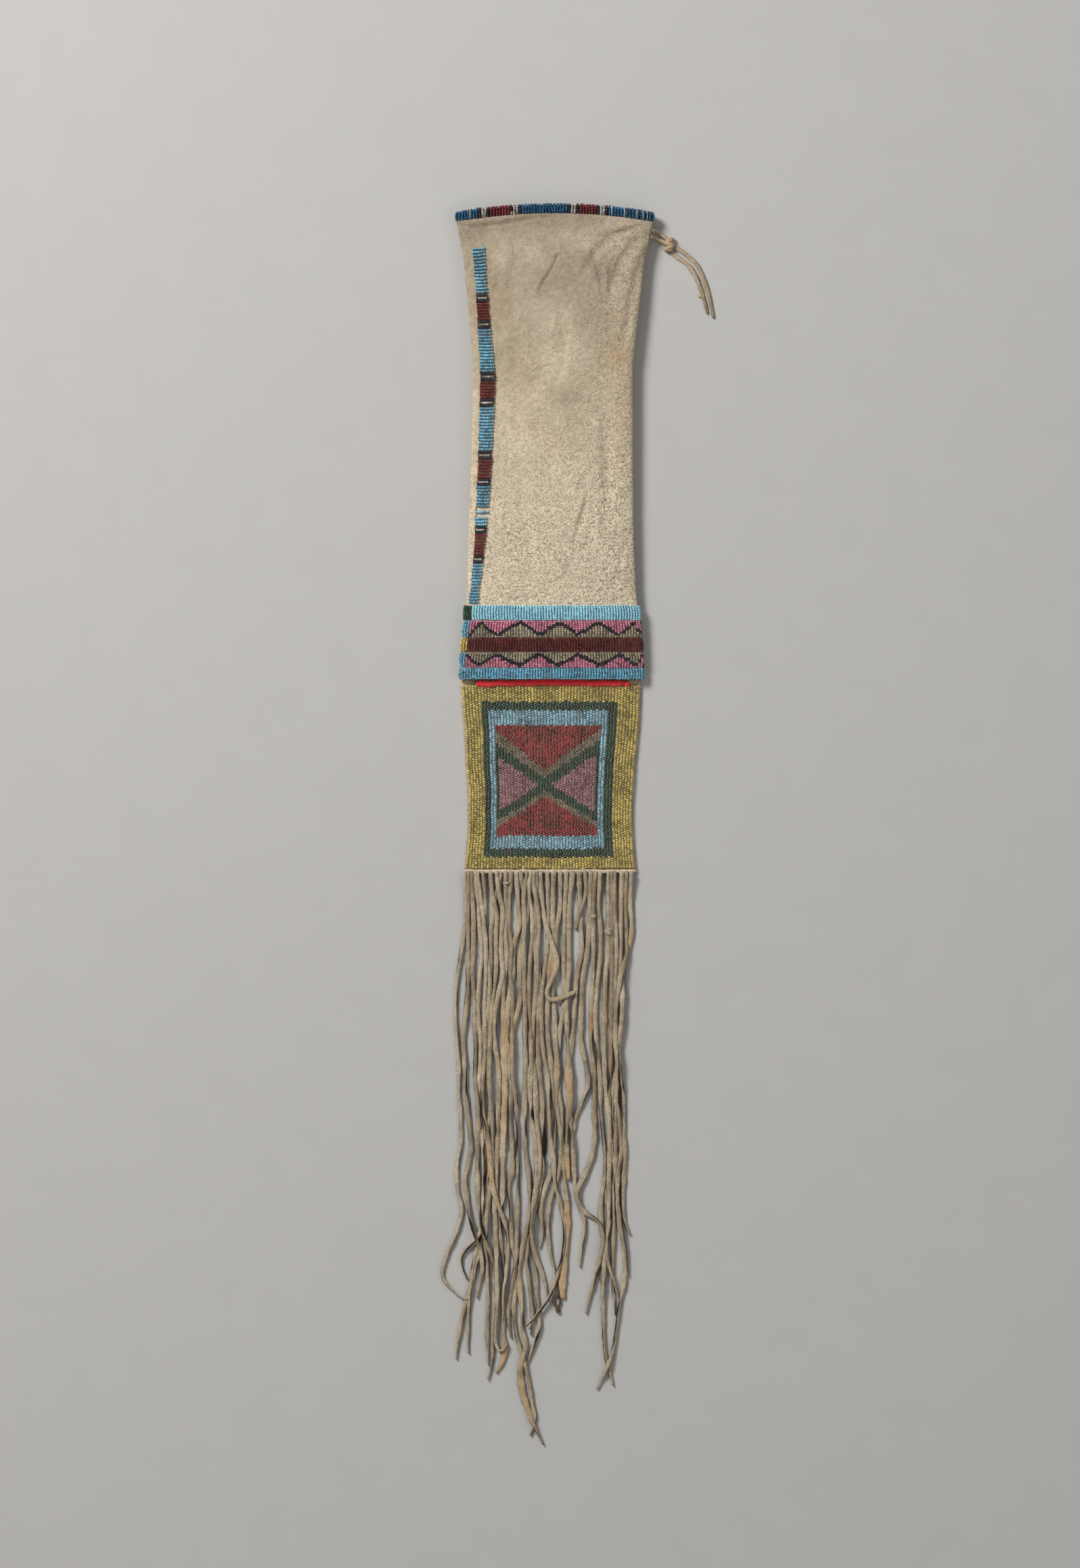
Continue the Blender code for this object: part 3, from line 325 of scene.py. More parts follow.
@dataclass(frozen=True)
class Suede(Finish):
    """Smoked hide with its nap, specks, stains and fine creases."""

    base: Rgb = linear(186, 167, 140)
    pale: Rgb = linear(238, 221, 192)
    tan: Rgb = linear(196, 158, 112)
    grey: Rgb = linear(136, 124, 108)
    fleck: Rgb = linear(98, 80, 60)
    fleck_amount: float = 0.5
    fleck_scale: float = 1000.0
    dot_scale: float = 860.0
    pit_amount: float = 0.62
    nap: float = 0.6
    wrinkle: float = 0.4
    grain: Xyz = (1.0, 1.0, 1.0)

    def mix(self, shader: Shader) -> None:
        """Tones by the numbers on the mesh, then pits, flecks and the painted shade of the crease number, and
        the nap as a height.

        Args:
            shader: The shader to set.
        """
        cloud = shader.ranged(shader.noise(38.0, 5.0, 0.4), 0.35, 0.68, 0.2, 0.55)
        colour = shader.mixed(cloud, self.base, self.pale)
        patch = shader.ranged(shader.noise(16.0, 4.0, 0.8), 0.5, 0.72, 0.0, 0.22)
        colour = shader.mixed(patch, colour, self.tan)
        mottle = shader.ranged(shader.noise(300.0, 5.0, 0.0, self.grain), 0.28, 0.72, 0.86, 1.09)
        dots = shader.noise(self.dot_scale, 3.0, 0.0, self.grain)
        broken_up = shader.ranged(dots, 0.42, 0.58, 0.45, 1.0)
        for name, hue, most in (("tan", self.tan, 0.95), ("grey", self.grey, 0.7), ("pale", self.pale, 0.95)):
            colour = shader.mixed(shader.times(shader.attribute(name), most, broken_up), colour, hue)
        pits = shader.times(shader.ranged(dots, 0.46, 0.38), shader.attribute("flecked"))
        colour = shader.mixed(shader.times(pits, self.pit_amount), colour, self.fleck)
        flecks = self.flecks(shader)
        colour = shader.mixed(flecks, colour, self.fleck)
        # The crease number darkens towards the fleck colour: painted shade in the hide's creases, along the
        # header's folds and foot and on the thongs' lower sides, with some uneven tone on thongs and knots.
        colour = shader.mixed(shader.attribute("crease"), colour, self.fleck)
        tinted = shader.add("VectorMath", {0: colour, "Scale": mottle}, operation="SCALE").outputs[0]
        shader.surface(Base_Color=tinted, Roughness=shader.ranged(cloud, 0.0, 1.0, 0.97, 0.86))
        shader.surface(Specular_IOR_Level=0.2, Sheen_Weight=0.12)
        fold = shader.sums("ABSOLUTE", shader.sums("SUBTRACT", shader.noise(70.0, 4.0, 1.4, self.grain), 0.5))
        fold = shader.ranged(fold, 0.0, 0.12, -self.wrinkle, 0.0)
        pebble = shader.ranged(shader.noise(420.0, 2.0, 0.6, self.grain), 0.42, 0.62, 0.0, 0.6)
        pebble = shader.times(pebble, shader.attribute("flecked"))
        height = shader.sums("ADD", shader.noise(900.0, 3.0), shader.times(flecks, -0.6))
        height = shader.sums("SUBTRACT", shader.sums("ADD", height, shader.sums("ADD", fold, pebble)), pits)
        shader.bump(height, self.nap, 0.0006)

    def flecks(self, shader: Shader) -> Socket:
        """Short dark lines that crowd together in places.

        Args:
            shader: The shader that they belong to.

        Returns:
            Their strength.
        """
        middle = shader.sums("SUBTRACT", shader.noise(self.fleck_scale, 2.0, 0.5, self.grain), 0.5)
        line = shader.ranged(shader.sums("ABSOLUTE", middle), 0.01, 0.06, 1.0, 0.0)
        broken = shader.ranged(shader.noise(self.fleck_scale * 1.4, 2.0, 0.2, (1.3, 1.0, 1.2)), 0.5, 0.62)
        crowd = shader.ranged(shader.noise(45.0, 4.0), 0.36, 0.64, 0.1, 1.0)
        flecked = shader.sums("ADD", shader.attribute("flecked"), 0.1)
        return shader.times(line, broken, crowd, flecked, self.fleck_amount)


@dataclass(frozen=True)
class Wool(Finish):
    """Felted wool yarn with stray fibres and dust."""

    base: Rgb = linear(255, 58, 66)
    deep: Rgb = linear(240, 40, 50)
    dust: Rgb = linear(196, 120, 104)

    def mix(self, shader: Shader) -> None:
        """Strands of two reds, with dust in specks.

        Args:
            shader: The shader to set.
        """
        strands = shader.ranged(shader.noise(900.0, 3.0, 0.6, (0.35, 1.0, 1.0)), 0.38, 0.66)
        colour = shader.mixed(strands, self.deep, self.base)
        dusty = shader.ranged(shader.noise(420.0, 2.0), 0.62, 0.74, 0.0, 0.5)
        shader.surface(Base_Color=shader.mixed(dusty, colour, self.dust), Roughness=0.95, Sheen_Weight=0.5)
        shader.bump(shader.noise(1100.0, 3.0, 0.4, (0.4, 1.0, 1.0)), 0.8, 0.0005)


@dataclass(frozen=True)
class Sinew(Finish):
    """Twisted thread, worn in places."""

    base: Rgb

    def mix(self, shader: Shader) -> None:
        """The thread's colour and what wear leaves of it.

        Args:
            shader: The shader to set.
        """
        worn = shader.ranged(shader.noise(500.0), 0.4, 0.7)
        soiled = tuple(0.5 * c for c in self.base)
        shader.surface(Base_Color=shader.mixed(worn, self.base, soiled), Roughness=0.8)
        shader.bump(shader.noise(3000.0), 0.3, 0.0001)


POUCH_SUEDE = Suede("pouch_suede")
THONG_SUEDE = Suede(
    "thong_suede", base=linear(175, 158, 131), pale=linear(227, 210, 182), tan=linear(214, 168, 110),
    grey=linear(108, 94, 76), fleck=linear(46, 34, 24), fleck_amount=0.36, fleck_scale=1500.0,
    dot_scale=2000.0, pit_amount=0.38, nap=0.65, grain=(1.3, 0.75, 1.3),
)
CURLED_SUEDE = Suede("dark_curled_hide", base=linear(74, 60, 46), pale=linear(104, 88, 68))
# Near-black hide for the rim's core, so that the gaps between the bead wraps look shadowed: painted shadow.
CORE_PAINTED_SHADOW_SUEDE = Suede(
    "rim_core_painted_shadow_hide", base=linear(58, 52, 46), pale=linear(74, 66, 56), tan=linear(70, 56, 44),
    grey=linear(50, 46, 42),
)
YARN = Wool("red_wool_yarn")


def add_piece(
    name: str, slot: str, mesh_data: tuple[Array, list], finishes: Sequence[Finish],
    nodes: Sequence[str] = (), chosen: Array | None = None,
    numbers: dict[str, Array | float] | None = None,
) -> bpy.types.Object:
    """Make a smooth mesh piece that rides on the bag.

    Args:
        name: The piece's name.
        slot: Its finish slot; not used.
        mesh_data: Its points in the bag's measure and its faces.
        finishes: What it is made of.
        nodes: The nodes it stands for.
        chosen: Which finish each face has, if there are several.
        numbers: Named numbers for its points, which the finishes read.

    Returns:
        The new object.
    """
    points, faces = mesh_data
    mesh = bpy.data.meshes.new(name)
    points = np.array(points, float)
    points[:, 2] = np.maximum(points[:, 2], 0.0)
    mesh.from_pydata(to_frame(points).tolist(), [], faces)
    for finish in finishes:
        mesh.materials.append(finish.material())
    if chosen is not None:
        mesh.polygons.foreach_set("material_index", chosen.astype(np.int32))
    mesh.polygons.foreach_set("use_smooth", np.ones(len(mesh.polygons), bool))
    for key, values in (numbers or {}).items():
        spread = np.full(len(points), values, np.float32)
        mesh.attributes.new(key, "FLOAT", "POINT").data.foreach_set("value", spread)
    mesh.update()
    made = bpy.data.objects.new(name, mesh)
    bpy.context.scene.collection.objects.link(made)
    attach(made, BODY)
    if nodes:
        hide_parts(*nodes)
    log.info("%s: %d triangles", name, sum(len(face) - 2 for face in faces))
    return made


def tube_faces(rows: int, columns: int, start: int = 0) -> list[list[int]]:
    """Faces of a tube, the last two of which close its ends.

    Args:
        rows: How many rings of points.
        columns: Points in each ring.
        start: The first point's number.

    Returns:
        The faces.
    """
    last = start + (rows - 1) * columns
    faces = []
    for one in range(start, last, columns):
        for j in range(columns):
            k = (j + 1) % columns
            faces.append([one + j, one + k, one + columns + k, one + columns + j])
    return faces + [list(range(start, start + columns))[::-1], list(range(last, last + columns))]


def thread_mesh(
    lines: Iterable[Array], radius: float, sides: int = 3, pole: Xyz = (0.02, 0.01, 1.0),
) -> tuple[Array, list]:
    """Thin tubes along lines.

    Args:
        lines: Lines of points in the bag's measure.
        radius: The tubes' radius in millimetres.
        sides: How many sides they have.
        pole: A direction that no line follows.

    Returns:
        Points and faces.
    """
    turns = np.linspace(0, math.tau, sides, endpoint=False)
    points, faces, count = [], [], 0
    for line in lines:
        ahead = unit(np.gradient(line, axis=0))
        side = unit(np.cross(ahead, pole))[:, None]
        above = np.cross(side[:, 0], ahead)[:, None]
        rings = line[:, None] + radius * (np.cos(turns)[:, None] * side + np.sin(turns)[:, None] * above)
        points.append(rings.reshape(-1, 3))
        faces += tube_faces(len(line), sides, count)
        count += len(line) * sides
    return np.concatenate(points), faces


@dataclass
class Picture:
    """The camera straight above the bag, the floor under it and the light."""

    camera_height: float = 5.0
    object_height: float = 8.0
    sensor: float = 36.0
    floor_size: float = 9.0
    floor_colour: Rgb = (0.60, 0.585, 0.56)
    sky_colour: Rgb = (1.0, 0.99, 0.97)
    sky_strength: float = 0.23
    lamps: tuple[tuple[str, Xyz, float, float], ...] = (
        ("key", (-1.9, 2.0, 2.3), 1.0, 102.0), ("fill", (2.2, -0.9, 2.8), 2.4, 12.0),
    )

    def build(self) -> None:
        """Place camera, floor and lamps."""
        self.place_camera()
        self.place_floor()
        self.place_lights()

    def place_camera(self) -> None:
        """Look straight down with the picture's own size in millimetres."""
        data = bpy.data.cameras.new("camera")
        made = bpy.data.objects.new("camera", data)
        bpy.context.scene.collection.objects.link(made)
        across, down = IMAGE_MIDDLE
        made.location = (across * MM, (MOUTH_LINE - down) * MM, self.camera_height)
        data.sensor_width = self.sensor
        reach = self.camera_height - self.object_height * MM
        data.lens = self.sensor * reach / (IMAGE_HEIGHT * MM_PER_PIXEL * MM)
        data.clip_end = 20.0
        bpy.context.scene.camera = made

    def place_floor(self) -> None:
        """A plain pale floor."""
        half = self.floor_size / 2
        mesh = bpy.data.meshes.new("floor")
        corners = [(-half, -half, 0), (half, -half, 0), (half, half, 0), (-half, half, 0)]
        mesh.from_pydata(corners, [], [[0, 1, 2, 3]])
        made = bpy.data.objects.new("floor", mesh)
        bpy.context.scene.collection.objects.link(made)
        shader = Shader("floor")
        cloth = shader.ranged(shader.noise(30.0, 4.0), 0.3, 0.7)
        dark = tuple(c * 0.985 for c in self.floor_colour)
        shader.surface(Base_Color=shader.mixed(cloth, dark, self.floor_colour), Roughness=0.9)
        mesh.materials.append(shader.material)
        made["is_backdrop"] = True

    def place_lights(self) -> None:
        """Hang the lamps, given by name, place from the bag's middle, side and power, and set an even sky."""
        middle = Vector((0.0, (MOUTH_LINE - IMAGE_MIDDLE[1]) * MM, 0.0))
        for name, place, size, power in self.lamps:
            data = bpy.data.lights.new(name, "AREA")
            data.size, data.energy = size, power
            made = bpy.data.objects.new(name, data)
            made.location = middle + Vector(place)
            made.rotation_euler = (middle - made.location).to_track_quat("-Z", "Y").to_euler()
            bpy.context.scene.collection.objects.link(made)
        world = bpy.data.worlds.new("sky")
        world.use_nodes = True
        inputs = world.node_tree.nodes["Background"].inputs
        inputs["Color"].default_value = (*self.sky_colour, 1.0)
        inputs["Strength"].default_value = self.sky_strength
        bpy.context.scene.world = world
        bpy.context.scene.view_settings.view_transform = "Standard"


def smooth_course(chosen: Points, per_span: int = 8) -> Array:
    """A smooth line through chosen points.

    Args:
        chosen: The points of the course.
        per_span: Points between two chosen ones.

    Returns:
        The line's points.
    """
    points = np.array(chosen, float)
    padded = np.concatenate([points[:1], points, points[-1:]])
    t = (np.arange(per_span) / per_span)[:, None]
    line = []
    for a, b, c, d in zip(padded, padded[1:], padded[2:], padded[3:]):
        bow, sway = 2 * a - 5 * b + 4 * c - d, 3 * b - a - 3 * c + d
        line.append((2 * b + (c - a) * t + bow * t**2 + sway * t**3) / 2)
    return np.concatenate(line + [points[-1:]])


def evenly(line: Array, step: float) -> Array:
    """The line's points again, the same step apart.

    Args:
        line: The line.
        step: How far apart its new points are.

    Returns:
        The new points.
    """
    run = runs(line)
    places = np.linspace(0.0, run[-1], max(2, round(run[-1] / step) + 1))
    return np.column_stack([np.interp(places, run, column) for column in line.T])


def eased(line: Array) -> Array:
    """The line with its sharpest turns rounded and its ends kept."""
    padded = np.concatenate([2 * line[:1] - line[2:0:-1], line, 2 * line[-1:] - line[-2:-4:-1]])
    return sum(padded[i:i + len(line)] * weight / 9 for i, weight in enumerate((1, 2, 3, 2, 1)))


@dataclass(frozen=True)
class Spot:
    """A stretch of a thong that looks different from the rest: wider, paler or twisted."""

    down: float
    reach: float
    wide: float = 1.0
    golden: float = 0.0
    flat: float = 0.0


@dataclass
class Thong:
    """One strip of hide that lies on the floor and on the thongs laid before it."""

    name: str
    chosen: Points
    width: float = 3.7
    thickness: float = 2.9
    taper: float = 22.0
    tip: float = 0.34
    seed: int = 0
    spots: tuple[Spot, ...] = ()
    head: bool = True
    head_width: float = 0.9
    head_height: float = 4.4
    fall: float = 26.0
    slope: float = 0.16
    sides: int = 12
    step: float = 1.9
    shade: float = 0.0

    def lay(self, laid: Array) -> Array:
        """Work out the line's heights over what lies below.

        Args:
            laid: Points of the thongs laid so far.

        Returns:
            The thong's own middle line.
        """
        line = eased(evenly(smooth_course(self.chosen), self.step))
        floor = self.thickness / 2 + 0.05
        steps = np.linalg.norm(np.diff(line, axis=0), axis=1)
        start = self.head_height if self.head else self.thickness / 2
        heights = np.maximum(floor, start * (1 - runs(line) / self.fall))
        spread = self.width - 0.7
        for i, point in enumerate(line):
            gap = spread - np.linalg.norm(laid[:, :2] - point, axis=1)
            climb = np.clip(gap / self.thickness, 0.0, 1.0) * (self.thickness - 0.3)
            heights[i] = max(heights[i], (laid[:, 2] + climb)[gap > 0].max(initial=floor))
        for i, each in enumerate(steps, 1):
            heights[i] = max(heights[i], heights[i - 1] - self.slope * each)
        for i, each in reversed(list(enumerate(steps))):
            heights[i] = max(heights[i], heights[i + 1] - self.slope * each)
        kernel = np.ones(5) / 5
        heights = np.maximum(heights * 0.999, np.convolve(np.pad(heights, 2, "edge"), kernel, "valid"))
        return np.column_stack([line, heights])

    def uneven(self, run: Array, pace: float, own: float, layer: float = 0.0) -> Array:
        """Smooth noise along the thong that no other thong has."""
        return wander(run * pace, self.seed * own, layer)

    def section(self, run: Array, down: Array) -> tuple[Array, ...]:
        """The thong's section along its way.

        Args:
            run: How far along it each place is.
            down: How far down the bag it is.

        Returns:
            How wide, tall, golden and flat it is at each place.
        """
        fine = self.uneven(run, 0.22, 3.1, 5.0)
        low = smoothstep(60.0, 200.0, run)
        wide = 1 + 0.07 * low + (0.16 + 0.22 * low) * self.uneven(run, 0.05, 7.3) + 0.10 * fine
        tall = self.thickness * (1 + 0.12 * fine - 0.16 * low)
        golden = 0.45 * np.maximum(0.0, self.uneven(run, 0.012, 4.1, 30.0))
        flat = np.zeros(len(run))
        for spot in self.spots:
            share = np.exp(-(((down - spot.down) / spot.reach) ** 2))
            wide *= 1 + (spot.wide - 1) * share
            golden += spot.golden * share
            flat = np.maximum(flat, spot.flat * share)
        tall *= 1 - 0.35 * flat
        wide *= self.width * (1 - 0.2 * smoothstep(0.45, 1.0, run / run[-1]))
        end = smoothstep(0.0, self.taper, run[-1] - run)
        wide *= self.tip + (1 - self.tip) * end
        tall *= 0.6 + 0.4 * end
        if self.head:
            wide *= self.head_width + (1 - self.head_width) * smoothstep(2.0, 18.0, run)
            tall *= 1 + 0.15 * np.exp(-(((run - 2.0) / 1.5) ** 2))
        return wide, tall, golden, flat

    def axes(self, line: Array, run: Array, flat: Array) -> tuple[Array, Array]:
        """Where the section's width and height point as the strip twists.

        Args:
            line: The thong's middle line.
            run: How far along it each place is.
            flat: How flat it lies there.

        Returns:
            The two directions at each place.
        """
        most = 1.1 + 1.3 * smoothstep(60.0, 200.0, run)
        twist = self.uneven(run, 0.028, 5.7, 9.0) * most * (1 - flat) * smoothstep(4.0, 20.0, run)
        ahead = unit(np.gradient(line, axis=0))
        side = unit(np.cross(ahead, UPWARD))
        turned = np.cos(twist)[:, None] * side + np.sin(twist)[:, None] * np.cross(side, ahead)
        return turned, np.cross(turned, ahead)

    def dress(self, line: Array, slot: str, diameter: float) -> None:
        """Make the thong along its line.

        Args:
            line: Its middle line.
            slot: Its finish slot.
            diameter: Its width in millimetres; not used.
        """
        if self.head:
            across, y, up = line[0]
            lead = [(across, y + 2.1, 2.4), (across, y + 1.8, 3.7), (across, y + 0.8, up + 0.4)]
            line = np.concatenate([np.array(lead), line])
        run = runs(line)
        wide, tall, golden, flat = self.section(run, -line[:, 1])
        turned, upright = self.axes(line, run, flat)
        turns = np.linspace(0, math.tau, self.sides, endpoint=False)
        c, s = np.cos(turns), np.sin(turns)
        c, s = np.sign(c) * np.abs(c) ** 0.9, np.sign(s) * np.abs(s) ** 0.9
        swell = 1 + 0.20 * wander(run[:, None] * 0.16, 3.0 * np.arange(self.sides), self.seed * 2.3)
        groove = np.maximum(0.0, self.uneven(run, 0.03, 1.7, 20.0))[:, None]
        x = wide[:, None] / 2 * c * swell
        z = tall[:, None] / 2 * s * swell * (1 - 0.5 * groove * np.clip(s, 0.0, 1.0) ** 6)
        rings = line[:, None] + x[..., None] * turned[:, None] + z[..., None] * upright[:, None]
        rings[..., 2] = np.maximum(rings[..., 2], 0.02)
        shade = np.clip(self.shade + 0.8 * self.uneven(run, 0.05, 7.3), -0.9, 0.9)
        golden = np.clip(golden, 0.0, 1.0)
        along = {
            "tan": golden, "pale": np.clip(shade, 0.0, 1.0), "grey": np.clip(-shade, 0.0, 1.0),
            "flecked": 0.8 * (1 - golden * 0.6),
        }
        numbers = {name: np.repeat(values, self.sides) for name, values in along.items()}
        # The crease number darkens towards the fleck colour: painted shade on the lower half of each thong's
        # section, added to an uneven worn tone along it.
        worn = 0.4 * np.clip(self.uneven(run, 0.22, 3.1, 5.0), 0, 1)[:, None] ** 2
        numbers["crease"] = (worn + 1.15 * np.clip(0.6 - s, 0, 1)).ravel()
        hide = (rings.reshape(-1, 3), tube_faces(len(line), self.sides))
        made = add_piece(f"{self.name}_hide", slot, hide, [THONG_SUEDE], [self.name], numbers=numbers)
        path = to_frame(line)
        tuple(path[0])


THONG_START = 1.0

